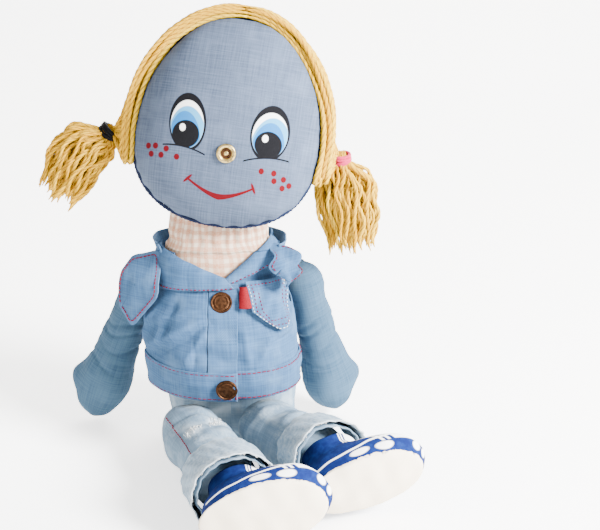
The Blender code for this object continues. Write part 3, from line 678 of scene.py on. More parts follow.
def printed_shoe():
    """Blue upper with white toe cap, lines and windows, and a plain pale sole."""
    shade = Shade("shoe_print", 0.88)
    uv = shade.uv()
    turn, down = shade.split(uv)
    grain = shade.noise(shade.place(), (0.0035, 0.0035, 0.0035), 2)
    ragged = shade.plus(down, shade.times(shade.minus(grain, 0.5), 0.10))
    pale = shade.noise(shade.place(), (0.012, 0.012, 0.012), 3)
    sole = shade.mix(pale, SOLE, tuple(c * 0.90 for c in SOLE))
    faded = shade.ramp(shade.noise(shade.place(), (0.004, 0.004, 0.004), 3), 0.4, 0.75)
    colour = shade.mix(faded, ROYAL, ROYAL_WORN)
    side = shade.math('ABSOLUTE', turn)
    above = shade.ramp(down, 0.56, 0.62)
    colour = shade.mix(shade.times(shade.ramp(side, CAP_TURN, CAP_TURN - 0.02), above), colour, WHITE)
    for centre in (CAP_TURN + 0.09, CAP_TURN + 0.19):
        line = shade.ramp(shade.math('ABSOLUTE', shade.minus(side, centre)), 0.030, 0.020)
        colour = shade.mix(shade.times(line, above), colour, WHITE)
    sweep = shade.plus(shade.times(shade.math('SINE', shade.times(turn, 2.0)), 0.16), 0.70)
    line = shade.ramp(shade.math('ABSOLUTE', shade.minus(down, sweep)), 0.060, 0.035)
    reach = shade.times(shade.ramp(turn, 0.86, 0.90), shade.ramp(turn, 2.75, 2.70))
    colour = shade.mix(shade.times(line, reach), colour, WHITE)
    for x, y, wide, high in ((0.18, 0.42, 0.10, 0.13), (0.48, 0.43, 0.12, 0.13), (1.18, 0.40, 0.15, 0.14),
                             (1.60, 0.42, 0.16, 0.13)):
        window = shade.oval(uv, (x, y), (wide, high), soft=0.02)
        colour = shade.mix(window, colour, WHITE)
    colour = shade.mix(shade.ramp(ragged, 0.195, 0.175), colour, sole)
    shade.bump(shade.noise(shade.place(), (0.0008, 0.0008, 0.0008), 2), 0.0003, 0.5)
    return shade.finish(colour)


LOOKS = {
    "face": painted_face(),
    "arm": chambray("arm_chambray", ARM_BLUE, ARM_DARK),
    "jacket": denim("jacket_denim", DENIM, DENIM_DARK, DENIM_PALE),
    "jeans": denim("jeans_denim", JEANS, JEANS_DARK, JEANS_PALE),
    "gingham": gingham(),
    "yarn": yarn("yarn_gold", YARN, YARN_FLECK_AND_SHADE, YARN_PALE),
    "red_thread": thread("red_thread", RED),
    "white_thread": thread("white_thread", WHITE),
    "piping": thread("dark_piping", NAVY),
    "tab": thread("red_tape", RED, 0.75),
    "black": thread("black_elastic", BLACK, 0.6),
    "pink": thread("pink_elastic", PINK, 0.6),
    "copper": metal("old_copper", COPPER, 0.5),
    "brass": metal("satin_brass", BRASS, 0.30),
    "shoe": printed_shoe(),
}


# ---------------------------------------------------------------- the torso's surface
def torso_table():
    """Height, centre in X and Y, half width and half depth of the torso and neck."""
    rows = []
    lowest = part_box("waistband_back")[0][2] - 0.001
    for node, extra in (("torso_stuffing", core_gap()), ("neck_band", 0.0)):
        for ring, low, high in slices(points_of(node), 2, 0.0004):
            if high[0] - low[0] < 0.02 or ring[:, 2].mean() < lowest:
                continue
            middle, half = (low + high) / 2, (high - low) / 2
            rows.append((ring[:, 2].mean(), middle[0], middle[1], half[0] + extra, half[1] + extra))
    rows.sort()
    return np.array(rows)


def core_gap():
    """How far the shirt's inner side is outside the stuffing."""
    return (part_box("shirt_back_panel")[1][1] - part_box("torso_stuffing")[1][1]) - 0.001


TORSO = torso_table()


def section(z):
    z = np.asarray(z, float)
    return [np.interp(z, TORSO[:, 0], TORSO[:, k]) for k in (1, 2, 3, 4)]


def torso_point(turn, z, out):
    """A point outside the torso; turn is 0 in front and grows towards the doll's left."""
    turn, z = np.broadcast_arrays(np.asarray(turn, float), np.asarray(z, float))
    middle, centre, wide, deep = section(z)
    x = middle + (wide + out) * power(np.sin(turn), 2 / TORSO_SQUARE)
    y = centre - (deep + out) * power(np.cos(turn), 2 / TORSO_SQUARE)
    return np.stack([x, y, z], axis=-1)


def round_uv(turn, z, span):
    """Cloth coordinates of a tube whose first column comes again at its end."""
    wrapped = np.concatenate([turn, turn[:, :1] + 2 * math.pi], axis=1)
    return np.stack(np.broadcast_arrays(wrapped * span, z), axis=-1)


def torso_turn(x, z, out):
    """The turn at which the surface in front is x to the side."""
    middle, _, wide, _ = section(z)
    return np.arcsin(np.clip(power((np.asarray(x) - middle) / (wide + out), TORSO_SQUARE / 2), -1, 1))


def front_point(x, z, out):
    """The point of the surface in front at x and z."""
    return torso_point(torso_turn(x, z, out), z, out)


def edges_of(node, out):
    """Heights of a CAD panel's rows, with the turns of its two edges at each."""
    cloud = points_of(node)
    rows = []
    behind = "back" in node
    for group in groups(cloud[:, 2], 0.0006):
        ring = cloud[group]
        middle, centre, wide, deep = section(ring[:, 2].mean())
        across = power((ring[:, 0] - middle) / (wide + out), TORSO_SQUARE / 2)
        ahead = power((centre - ring[:, 1]) / (deep + out), TORSO_SQUARE / 2)
        turn = np.arctan2(across, ahead)
        turn = np.where(turn < 0, turn + 2 * math.pi, turn) if behind else turn
        if np.ptp(turn) > 0.04:
            rows.append((ring[:, 2].mean(), turn.min(), turn.max()))
    rows.sort()
    return np.array(rows)


def panel_grid(node, out, rows, columns, low=None, high=None, pads=(0.0, 0.0)):
    """A dense grid over a CAD panel's place on the torso; out may be a function of the turn."""
    table = edges_of(node, 0.003)
    bottom = table[0, 0] if low is None else low
    top = table[-1, 0] if high is None else high
    z = np.linspace(bottom, top, rows)[:, None]
    above = ease((z - ARMHOLE_Z) / 0.012)
    first = np.interp(z, table[:, 0], table[:, 1]) - pads[0] * above
    last = np.interp(z, table[:, 0], table[:, 2]) + pads[1] * above
    turn = first + (last - first) * np.linspace(0, 1, columns)[None, :]
    height = np.broadcast_to(z, turn.shape)
    lift = out(turn) if callable(out) else out
    grid = torso_point(turn, height, lift)
    uv = np.stack([turn * SIDE_SPAN, height], axis=-1)
    return grid, uv, turn, height


# ---------------------------------------------------------------- the head
def head_axes():
    """The head's own frame, from the flat ring of its piping: X across, -Y out of the face."""
    ring = points_of("head_piping")
    middle, ways = principal(ring)
    up = ways[0] * np.sign(ways[0][2])
    right = ways[1] * np.sign(ways[1][0])
    ahead = np.cross(up, right)
    local = (ring - middle) @ np.stack([right, ahead, up]).T
    centre = middle + np.stack([right, ahead, up]).T @ ((local.max(axis=0) + local.min(axis=0)) / 2)
    return centre, np.stack([right, ahead, up])


HEAD_MIDDLE, HEAD_AXES = head_axes()


def to_head(points):
    return (np.asarray(points, float) - HEAD_MIDDLE) @ HEAD_AXES.T


def from_head(points):
    return np.asarray(points, float) @ HEAD_AXES + HEAD_MIDDLE


def head_rim():
    """The seam's outline round the head: angles, and the distances from the middle."""
    rim = to_head(points_of("face_panel"))
    rim = rim[np.abs(rim[:, 1]) < 0.0009]
    angle = np.arctan2(rim[:, 2], rim[:, 0])
    reach = np.hypot(rim[:, 0], rim[:, 2])
    kept = [(angle[g].mean(), reach[g].max()) for g in groups(angle, 0.03) if len(g) > 0]
    kept.sort()
    kept = np.array(kept)
    if kept[-1, 0] - kept[0, 0] > 2 * math.pi - 0.06:
        kept = kept[1:]
    before, after = kept[-3:].copy(), kept[:3].copy()
    before[:, 0] -= 2 * math.pi
    after[:, 0] += 2 * math.pi
    return np.concatenate([before, kept, after])


HEAD_RIM = head_rim()
HEAD_DEEP = np.abs(to_head(points_of("face_panel"))[:, 1]).max()


def head_local(angle, reach, side, out):
    """A point on the head: angle round the seam, reach 0 at the middle to 1 at the seam."""
    angle = np.asarray(angle, float)
    turned = (angle + math.pi) % (2 * math.pi) - math.pi
    far = through(turned, HEAD_RIM[:, 0], HEAD_RIM[:, 1]) + out
    swell = np.sin(np.asarray(reach) * math.pi / 2)
    y = side * (HEAD_DEEP + out) * np.cos(np.asarray(reach) * math.pi / 2)
    return np.stack(np.broadcast_arrays(far * np.cos(angle) * swell, y, far * np.sin(angle) * swell), axis=-1)


def head_cover():
    """The stuffed head as one closed pillow, with puckers along its seam."""
    columns, rows = 288, 72
    angle = circle(columns)
    way = np.concatenate([np.linspace(0.012, 1, rows), np.linspace(1, 0.012, rows)[1:]])
    side = np.concatenate([-np.ones(rows), np.ones(rows - 1)])
    local = head_local(angle[None, :], way[:, None], side[:, None], 0.0)
    chin = ease((-np.sin(angle) - 0.25) / 0.75)
    near = ease((way - 0.74) / 0.26)[:, None]
    pinch = np.exp(-((way - 1.0) / 0.02) ** 2)[:, None]
    pleat = np.cos(angle * 31 + 2 * np.sin(angle * 5)) * (0.25 + 0.75 * chin)
    outward = local / np.linalg.norm(local, axis=-1, keepdims=True)
    local = local - outward * (near * (1 - pinch) * pleat[None, :] * 0.0008)[..., None]
    local = local * (1 - 0.004 * pinch[..., None])
    world = from_head(local)
    world = world + normals_like(local) * (ripple(local, 0.045, 3) * 0.0005)[..., None]
    wrapped = np.concatenate([local, local[:, :1]], axis=1)
    uv = wrapped[..., [0, 2]]
    front = np.where(side < 0, 1.0, 0.0)[:, None] * np.ones(columns)
    front[rows - 1] = 0.0
    piece = skin("head_cover", world, LOOKS["face"], closed=True, ends=(True, True), uv=uv,
                 marks={"front": front})
    wear(piece, "head", "chambray", "face_panel", "head_back_panel", "head_stuffing")


def normals_like(local):
    """Directions out of the head, close to its normals, in the row frame."""
    size = np.array([0.068, HEAD_DEEP, 0.0775]) ** 2
    out = local / size
    out = out / np.maximum(np.linalg.norm(out, axis=-1, keepdims=True), 1e-9)
    return out @ HEAD_AXES


def head_piping():
    """The twisted dark cord sewn into the head's seam."""
    angle = np.linspace(0, 2 * math.pi, 361)
    path = from_head(head_local(angle, 1.0, 1, 0.0003))
    strands = Strands()
    strands.add(path, 0.0014, sides=8, lobes=2, deep=0.18, twist=1400.0)
    wear(strands.piece("head_piping_cord", LOOKS["piping"]), "head", "piping", "head_piping")


def turned(name, profile, frame_matrix, look, sides=72, wave=None):
    """A turned piece from a profile of (radius, height) about a frame's Z."""
    turn = circle(sides)
    rings = []
    for radius, height in profile:
        lift = wave(turn, radius) if wave else 0.0 * turn
        local = np.stack([radius * np.cos(turn), radius * np.sin(turn), height + lift], axis=-1)
        rings.append(local)
    grid = np.array(rings)
    matrix = np.array(frame_matrix)
    world = grid @ matrix[:3, :3].T + matrix[:3, 3]
    return skin(name, world, look, closed=True, ends=(True, True))


def disc_frame(node):
    """Axes of a round flat CAD piece: the origin at its middle, Z out of the doll."""
    cloud = points_of(node)
    middle, ways = principal(cloud)
    out = ways[2] * np.sign(-ways[2][1])
    right = unit(np.cross((0.0, 0.0, 1.0), out))
    up = np.cross(out, right)
    local = (cloud - middle) @ np.stack([right, up, out]).T
    centre = middle + np.stack([right, up, out]).T @ np.array(
        [(local[:, 0].max() + local[:, 0].min()) / 2, (local[:, 1].max() + local[:, 1].min()) / 2, 0.0])
    matrix = np.eye(4)
    matrix[:3, :3] = np.stack([right, up, out], axis=1)
    matrix[:3, 3] = centre
    return matrix, local


def round_profile(corners, count=6):
    """A profile through its corners, with each corner rounded."""
    path = np.array(corners, float)
    for _ in range(count // 2):
        first = path[:-1] * 0.75 + path[1:] * 0.25
        second = path[:-1] * 0.25 + path[1:] * 0.75
        path = np.concatenate([[path[0]], np.stack([first, second], axis=1).reshape(-1, 2)[1:-1], [path[-1]]])
    return path


def nose_rivet():
    """The eyelet rivet of the nose: a rolled brass ring round a dark cup with a small pip."""
    matrix, local = disc_frame("nose_rivet_cap")
    radius = np.hypot(local[:, 0], local[:, 1]).max()
    top = local[:, 2].max()
    base = top - 0.0020
    ring = round_profile([(radius * 0.97, base), (radius, base + 0.0008), (radius * 0.93, top),
                          (radius * 0.76, top + 0.0002), (radius * 0.60, top - 0.0004),
                          (radius * 0.50, top - 0.0017), (radius * 0.28, top - 0.0019),
                          (radius * 0.20, top - 0.0010), (radius * 0.08, top - 0.0008),
                          (0.0002, top - 0.0008)])
    ring = np.concatenate([[(0.0002, base - 0.0002)], ring])
    piece = turned("nose_rivet", ring, matrix, LOOKS["brass"])
    wear(piece, "head", "brass", "nose_rivet_cap")
    cup = [(radius * 0.24, top - 0.0017), (radius * 0.26, top - 0.0013), (radius * 0.52, top - 0.0011),
           (radius * 0.60, top - 0.0016)]
    wear(turned("nose_rivet_cup", round_profile(cup), matrix, LOOKS["copper"]), "head", "brass")
    dress("nose_rivet_washer", "brass")


# ---------------------------------------------------------------- hair
def hair():
    """Yarn laid from the parting over the back of the head to each elastic."""
    for side, name in ((-1, "right"), (1, "left")):
        knot = to_head(JOINTS[f"pigtail_{name}_swing"]["pos_m"])
        end = math.atan2(knot[2], knot[0])
        end = end + 2 * math.pi if side < 0 and end < 0 else end
        strands = Strands()
        starts = [(1.0, -0.0060 + 0.0026 * (k % 5), 0.0012 + 0.0025 * (k // 5)) for k in range(20)]
        starts += [(1.0 - 0.030 * k, 0.0, 0.0022 + 0.0028 * n) for k in range(1, 32) for n in (0, 1)]
        for k, (reach, forward, out) in enumerate(starts):
            path = hair_path(side, knot, end, reach, forward, out, k)
            strands.add(path, YARN_R * RANDOM.uniform(0.9, 1.15), sides=9, lobes=3, deep=0.17,
                        twist=YARN_TWIST, tone=RANDOM.uniform(0.0, 0.9), taper=0.5)
        piece = strands.piece(f"hair_{name}_strands", LOOKS["yarn"])
        wear(piece, "head", "yarn", f"hair_{name}")


def hair_path(side, knot, end, reach, forward, out, seed):
    """One strand's path from the parting to the knot."""
    t = np.linspace(0, 1, 74)
    draw = np.random.default_rng(900 + seed + (50 if side > 0 else 0))
    past = 0.42 - 0.66 * ((seed * 0.618) % 1.0)
    angle = math.pi / 2 + (end - side * past - math.pi / 2) * np.minimum(t / 0.82, 1.0) ** 0.94
    bend = reach + (0.985 - reach) * ease((t - 0.15) / 0.85)
    swell = out + 0.0014 * np.sin(math.pi * t) * draw.uniform(0.2, 1.6)
    swell = swell + 0.0009 * np.sin(t * draw.uniform(8, 15) + draw.uniform(0, 6)) * ease(t * 4)
    local = head_local(angle, np.clip(bend, 0.0, 1.0), 1, swell)
    local[:, 1] += forward + draw.uniform(-0.0006, 0.0006) + 0.0012 * np.sin(t * draw.uniform(5, 9) + seed)
    local[:, 0] -= side * 0.0012 * (1 - ease(t * 12))
    spot = knot + np.array([0.0, draw.uniform(-1, 1), draw.uniform(-1, 1)]) * 0.0032
    pull = ease((t - 0.70) / 0.30)[:, None] ** 1.4
    local = local * (1 - pull) + (spot - np.array([side * 0.002, 0, 0])) * pull
    return from_head(local)


def parting():
    """Thread that holds the yarn down along the parting, in small cross stitches."""
    strands = Strands()
    for reach in np.linspace(0.10, 1.0, 26):
        for way in (-1, 1):
            t = np.linspace(-1, 1, 7)
            angle = math.pi / 2 + t * 0.030
            local = head_local(angle, np.clip(reach + way * t * 0.012, 0, 1), 1, 0.0098 - 0.0022 * np.abs(t))
            strands.add(from_head(local), 0.00045, sides=6, tone=0.3)
    wear(strands.piece("parting_thread", LOOKS["yarn"]), "head", "thread", "parting_stitch")


def pigtail(side, name, elastic, look):
    """A tassel of loose yarn, and the wound elastic that ties it."""
    knot = np.array(JOINTS[f"pigtail_{name}_swing"]["pos_m"])
    cloud = points_of(f"pigtail_{name}")
    offsets = cloud - knot
    far = offsets[np.argmax(np.linalg.norm(offsets, axis=1))]
    tips = offsets[np.linalg.norm(offsets, axis=1) > 0.93 * np.linalg.norm(far)]
    along = tips.mean(axis=0)
    length = np.linalg.norm(along)
    along = along / length
    across = unit(np.cross(along, (0.0, 1.0, 0.0)))
    deep = np.cross(across, along)
    wide = np.abs(offsets @ across).max()
    strands = Strands()
    for k in range(84):
        draw = np.random.default_rng(3000 + k + (100 if side > 0 else 0))
        turn = k * 2.39996
        part = math.sqrt((k + 0.5) / 84)
        t = np.linspace(-0.07, 1, 46)
        open_out = 0.18 + 0.95 * ease(t / 0.42) - 0.22 * ease((t - 0.7) / 0.3)
        spread = 1.12 * wide * part * np.maximum(open_out, 0.2)
        reach = length * draw.uniform(0.78, 1.13)
        path = knot + along * (t * reach)[:, None]
        path = path + across * (math.cos(turn) * spread)[:, None]
        path = path + deep * (0.75 * math.sin(turn) * spread)[:, None]
        arch = 0.010 * np.sin(math.pi * np.clip(t, 0, 1)) * (1 + 0.4 * math.cos(turn) * -side)
        path = path + np.array([0.0, 0.0, 1.0]) * arch[:, None]
        for way, pace in ((across, draw.uniform(9, 19)), (deep, draw.uniform(9, 19))):
            curl = 0.0017 * np.sin(t * pace + draw.uniform(0, 6)) * ease(t / 0.3)
            path = path + way * curl[:, None]
        # painted shade: the right tassel's tones are scaled down, so it is darker, on the side away from the
        # key light
        strands.add(path, YARN_R * draw.uniform(0.72, 1.0), sides=9, lobes=3, deep=0.18, twist=YARN_TWIST,
                    tone=draw.uniform(0, 0.8) * (0.6 if side < 0 else 1.0), taper=0.75)
    tassel = strands.piece(f"pigtail_{name}_strands", LOOKS["yarn"])
    wear(tassel, f"pigtail_{name}", "yarn", f"pigtail_{name}")
    band = Strands()
    t = np.linspace(0, 5 * 2 * math.pi, 260)
    drift = 0.0026 * np.sin(t * 0.37) + 0.0006 * np.sin(t * 1.7)
    ring = (knot + along * (drift + 0.0005)[:, None] + across * (0.0072 * np.cos(t))[:, None]
            + deep * ((0.0072 + 0.0004 * np.sin(3 * t)) * np.sin(t))[:, None])
    band.add(ring, 0.00125, sides=9, lobes=4, deep=0.10, twist=500.0)
    wear(band.piece(f"{elastic}_windings", look), f"pigtail_{name}", elastic, elastic)


# ---------------------------------------------------------------- body cloth
def shirt():
    """The gingham body under the jacket, in one closed tube, and the gathered neck."""
    low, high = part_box("shirt_front_panel")[0][2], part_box("shirt_front_panel")[1][2]
    z = np.linspace(low, high, 60)[:, None]
    turn = circle(180)[None]
    grid = torso_point(turn, z, 0.0006)
    uv = round_uv(turn, z, SHIRT_SPAN)
    piece = skin("gingham_body", grid, LOOKS["gingham"], closed=True, ends=(True, True), uv=uv)
    wear(piece, "torso", "gingham", "shirt_front_panel", "shirt_back_panel", "torso_stuffing")
    neck(high)


def neck(low):
    """The soft neck: smooth below and gathered into small pleats under the head."""
    base = low - 0.034
    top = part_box("neck_band")[1][2] + NECK_RISE
    columns, rows = 300, 80
    part = np.linspace(0, 1, rows)[:, None]
    z = base + (top - base) * part
    turn = circle(columns)[None]
    pleats = np.cos(turn * 26 + 1.6 * np.sin(turn * 3)) * ease((part - 0.40) / 0.25) * 0.0012
    middle, centre, wide, deep = section(np.minimum(z, TORSO[-1, 0]))
    narrow = ease((z - top + NECK_RISE - 0.010) / (NECK_RISE - 0.010))
    out = 0.0013 + 0.0016 * np.exp(-((part - 0.50) / 0.14) ** 2) + pleats * (1 - narrow) - 0.0045 * narrow
    x = middle + (wide + out) * power(np.sin(turn), 2 / TORSO_SQUARE)
    y = centre - (deep + out) * power(np.cos(turn), 2 / TORSO_SQUARE) - 0.008 * narrow
    grid = np.stack(np.broadcast_arrays(x, y, z), axis=-1)
    grid = grid + ripple(grid, 0.02, 12)[..., None] * 0.0004
    uv = round_uv(turn, z, SHIRT_SPAN)
    piece = skin("gathered_neck", grid, LOOKS["gingham"], closed=True, ends=(True, True), uv=uv)
    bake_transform(piece)
    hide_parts("neck_band", "neck_stuffing")


def jeans_seat():
    """The seat of the jeans, a soft cup that is flat where it rests."""
    table = np.array(sorted((ring[:, 2].mean(), *((high - low) / 2)[:2])
                            for ring, low, high in slices(points_of("jeans_seat"), 2, 0.0004)))
    z = np.concatenate([np.linspace(0, 0.010, 14), np.linspace(0.011, table[-1, 0] + 0.012, 40)])[:, None]
    turn = circle(144)[None]
    wide, deep = (np.interp(z, table[:, 0], np.maximum.accumulate(table[:, k])) for k in (1, 2))
    x = wide * power(np.sin(turn), 2 / TORSO_SQUARE)
    y = -deep * power(np.cos(turn), 2 / TORSO_SQUARE)
    grid = np.stack(np.broadcast_arrays(x, y, z), axis=-1)
    grid = grid + normals_of(grid) * (ripple(grid, 0.02, 5) * 0.0006 * ease((z - 0.004) / 0.01))[..., None]
    piece = skin("jeans_seat_cloth", grid, LOOKS["jeans"], closed=True, ends=(True, True),
                 uv=round_uv(turn, z, SEAT_SPAN), marks={"worn": np.zeros(grid.shape[:2])})
    wear(piece, "torso", "jeans_denim", "jeans_seat")


# ---------------------------------------------------------------- jacket
BAND_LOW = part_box("waistband_back")[0][2]
BAND_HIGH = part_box("waistband_back")[1][2]
BUTTON_TOP = disc_frame("button_top_cap")[0][:3, 3]


def flare(turn, z):
    """How far the loose jacket stands off the doll's right side."""
    near = np.exp(-(wrap_angle(turn + math.pi / 2) / 0.62) ** 2)
    return FLARE * near * ease((0.134 - z) / 0.030)


def folds(points, turn):
    """The jacket's creases, and the soft ripples between them."""
    along, up = wrap_angle(turn) * SIDE_SPAN, points[..., 2]
    total = ripple(points, 0.030, 21) * 0.0009 + ripple(points, 0.013, 22) * 0.00030
    for line in CREASES:
        total = total + CREASE_GAIN * crease(along, up, line)
    flat = 1 - np.exp(-(np.linalg.norm(points - BUTTON_TOP, axis=-1) / 0.010) ** 2)
    still = ease((points[..., 2] - BAND_HIGH) / 0.010)
    total = np.maximum(total * flat * (0.25 + 0.75 * still), -0.0012)
    return total + flare(turn, points[..., 2])


def seam_wear(part_across, part_up, width=0.018):
    """How worn a panel is: most along its edges."""
    edge = np.minimum(np.minimum(part_across, 1 - part_across), np.minimum(part_up, 1 - part_up))
    return 0.62 * np.exp(-edge / width)


def cloth_piece(name, node, grid, uv, slot="jacket_denim", look="jacket",
                thick=CLOTH):
    """A sheet of cloth on the torso."""
    rows, columns = grid.shape[:2]
    up, across = np.meshgrid(np.linspace(0, 1, rows), np.linspace(0, 1, columns), indexing="ij")
    piece = skin(name, grid, LOOKS[look], uv=uv, marks={"worn": seam_wear(across, up)}, thick=thick)
    wear(piece, "torso", slot, node)
    declare(grid)


def declare(grid):
    """Work out a sheet's area, which is not kept."""
    first = np.cross(grid[1:, :-1] - grid[:-1, :-1], grid[:-1, 1:] - grid[:-1, :-1])
    second = np.cross(grid[1:, :-1] - grid[1:, 1:], grid[:-1, 1:] - grid[1:, 1:])
    area = (np.linalg.norm(first, axis=2).sum() + np.linalg.norm(second, axis=2).sum()) / 2
    area = float(area)


def hang(grid, turn):
    """Loose cloth, with its folds."""
    return grid + normals_out(turn) * folds(grid, turn)[..., None]


def normals_out(turn):
    """Level directions out of the torso."""
    out = np.stack([np.sin(turn), -np.cos(turn), 0.15 * np.ones_like(turn)], axis=-1)
    return out / np.linalg.norm(out, axis=-1, keepdims=True)


def jacket():
    """Back, fronts, placket and waistband of the sleeveless jacket."""
    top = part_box("jacket_back")[1][2] + 0.006

    def over(turn):
        return 0.0034 + 0.0030 * ease((turn + 1.3) / 0.9)

    def under(turn):
        return 0.0030 + 0.0004 * np.cos(turn)

    def over_band(turn):
        return over(turn) + 0.0006

    pad = ARMHOLE_PAD
    panels = (("jacket_back_cloth", "jacket_back", under, 170, (pad, pad)),
              ("jacket_left_cloth", "jacket_front_left", under, 100, (0, pad)),
              ("jacket_right_cloth", "jacket_front_right", over, 90, (pad, 0)))
    for name, node, out, columns, pads in panels:
        grid, uv, turn, z = panel_grid(node, out, 120, columns, low=BAND_HIGH - 0.002, high=top, pads=pads)
        cloth_piece(name, node, hang(grid, turn), uv)
    grid, uv, turn, z = panel_grid("jacket_placket", 0.0070, 90, 40, low=BAND_HIGH - 0.002)
    cloth_piece("placket_cloth", "jacket_placket", hang(grid, turn), uv)
    for node, out, columns in (("waistband_back", 0.0036, 170), ("waistband_left", 0.0036, 100),
                               ("waistband_right", over_band, 110)):
        grid, uv, turn, z = panel_grid(node, out, 40, columns)
        part = (z - z.min()) / (z.max() - z.min())
        lift = 0.0006 * np.sin(math.pi * part) ** 0.5 + ripple(grid, 0.018, 31) * 0.0006 + flare(turn, z)
        grid = grid + normals_out(turn) * lift[..., None]
        cloth_piece(f"{node}_cloth", node, grid, uv, thick=CLOTH * 1.5)


def jacket_stitching():
    """Red topstitching of the waistband and the front edge."""
    strands = Strands()
    for node, out in (("waistband_right", 0.0078), ("waistband_left", 0.0048), ("waistband_back", 0.0048)):
        table = edges_of(node, 0.003)
        for z in (BAND_LOW + 0.0016, BAND_HIGH - 0.0016):
            first, last = np.interp(z, table[:, 0], table[:, 1]), np.interp(z, table[:, 0], table[:, 2])
            turn = np.linspace(first + 0.01, last - 0.01, 160)
            extra = 0.0030 * (ease((turn + 1.3) / 0.9) - 1) if node == "waistband_right" else 0.0
            level = np.full_like(turn, z)
            path = torso_point(turn, level, out + extra)
            lift = ripple(path, 0.018, 31) * 0.0006 + flare(turn, level)
            path = path + normals_out(turn) * lift[..., None]
            stitch_line(strands, path, length=0.0034, gap=0.0005)
    edge = np.interp(0.07, *edges_of("waistband_right", 0.003)[:, [0, 2]].T) - 0.022
    z = np.linspace(BAND_LOW + 0.001, BAND_HIGH - 0.001, 30)
    stitch_line(strands, torso_point(np.full(30, edge), z, 0.0080), length=0.0034, gap=0.0004, radius=0.0005)
    sewn(strands, "jacket_stitching")


def tack_button(name):
    """A domed tack button with a rolled rim and a plain ring in its face."""
    matrix, local = disc_frame(f"{name}_cap")
    radius = np.hypot(local[:, 0], local[:, 1]).max()
    top, base = local[:, 2].max(), local[:, 2].min()
    corners = [(0.0002, base), (radius * 0.90, base), (radius, base + 0.0006), (radius, top - 0.0008),
               (radius * 0.93, top + 0.0001), (radius * 0.83, top - 0.0001), (radius * 0.80, top - 0.0007),
               (radius * 0.70, top - 0.0006), (radius * 0.62, top - 0.0001), (radius * 0.50, top - 0.0003),
               (radius * 0.30, top - 0.0001), (0.0002, top)]

    def hammered(turn, ring):
        return 0.00010 * np.sin(turn * 24) * (abs(ring / radius - 0.70) < 0.12)

    piece = turned(f"{name}_button", round_profile(corners), matrix, LOOKS["copper"], sides=96, wave=hammered)
    wear(piece, "torso", "copper", f"{name}_cap")
    dress(f"{name}_tack", "copper")


def patch(name, node, corners, out, roll, seed):
    """A four-sided flap draped on the front; corners go round from the lower left, each (x, z)."""
    a, b, c, d = (np.array(p, float) for p in corners)
    v, u = np.meshgrid(np.linspace(0, 1, 50), np.linspace(0, 1, 60), indexing="ij")
    flat = ((1 - u) * (1 - v))[..., None] * a + (u * (1 - v))[..., None] * b + (u * v)[..., None] * c \
        + ((1 - u) * v)[..., None] * d
    lift = out + 0.0016 * np.sin(math.pi * u) * np.sin(math.pi * v) - roll * np.exp(-(1 - v) / 0.07)
    grid = front_point(flat[..., 0], flat[..., 1], 0.0)
    turn = torso_turn(flat[..., 0], flat[..., 1], 0.0)
    lift = lift + 0.0005 * ripple(grid, 0.016, seed)
    grid = grid + normals_out(turn) * lift[..., None]
    cloth_piece(name, node, grid, flat)
    return grid


def lapels():
    """The turned-back corners of the two fronts."""
    strands = Strands()
    right = patch("lapel_right_cloth", "lapel_right",
                  ((-0.053, 0.1290), (0.0030, 0.1330), (-0.0035, 0.1395), (-0.0520, 0.1600)),
                  0.0088, 0.0022, 41)
    left = patch("lapel_left_cloth", "lapel_left",
                 ((-0.0020, 0.1350), (0.0355, 0.1500), (0.0310, 0.1690), (-0.0040, 0.1385)),
                 0.0070, 0.0018, 43)
    for grid in (right, left):
        line = grid[2] + np.array((0.0, -0.0007, 0.0003))
        stitch_line(strands, line, length=0.0022)
    sewn(strands, "lapel_stitching")


def outline_of(node):
    """The corners of a flat CAD flap in order, and the way out of it."""
    cloud = points_of(node)
    middle, ways = principal(cloud)
    out = ways[2] * np.sign(-ways[2][1])
    side = unit(np.cross((0.0, 0.0, 1.0), out))
    up = np.cross(out, side)
    local = (cloud - middle) @ np.stack([side, up, out]).T
    angle = np.arctan2(local[:, 1], local[:, 0])
    far = np.hypot(local[:, 0], local[:, 1])
    edge = [g[np.argmax(far[g])] for g in groups(angle, 0.05) if far[g].max() > 0.5 * far.mean()]
    edge = sorted(edge, key=lambda k: angle[k])
    return cloud[edge], middle, out


def flap(name, node, cups, seed, rough, shift=(0.0, 0.0, 0.0)):
    """A collar wing: its outline from the frame, softened, with a curved and creased face."""
    corners, middle, out = outline_of(node)
    corners, middle = corners + np.array(shift), middle + np.array(shift)
    ring = np.concatenate([corners, corners[:1]])
    for _ in range(2):
        first = ring[:-1] * 0.90 + ring[1:] * 0.10
        second = ring[:-1] * 0.10 + ring[1:] * 0.90
        ring = np.stack([first, second], axis=1).reshape(-1, 3)
        ring = np.concatenate([ring, ring[:1]])
    ring = resample(ring, 0.0014)
    part = np.linspace(0.02, 1, 34)[:, None, None]
    grid = middle + (ring[None] - middle) * part
    lift = cups * (1 - part[..., 0] ** 2) + rough * ripple(grid, 0.017, seed) * (0.4 + 0.6 * part[..., 0])
    uv = np.stack([grid[..., 0], grid[..., 2]], axis=-1)
    grid = over_shoulder(grid + out * lift[..., None], middle)
    worn = np.broadcast_to(0.60 * np.exp(-(1 - part[..., 0]) / 0.03), grid.shape[:2])
    piece = skin(name, grid, LOOKS["jacket"], uv=uv, marks={"worn": worn}, thick=CLOTH * 1.3)
    wear(piece, "torso", "jacket_denim", node)
    declare(grid)
    cupped = np.interp(0.88, part[:, 0, 0], (cups * (1 - part ** 2))[:, 0, 0])
    line = middle + (ring - middle) * 0.88 + out * (cupped + 0.0012)
    line = line + out * (rough * ripple(line, 0.017, seed) * 0.93)[:, None]
    return over_shoulder(line, middle)


def over_shoulder(points, middle):
    """A collar wing laid back over the shoulder above its middle."""
    back = WING_BACK * ease((points[..., 2] - middle[2] + 0.004) / 0.030) ** 1.3
    return points + np.stack([0 * back, back, -back * WING_SLOPE], axis=-1)


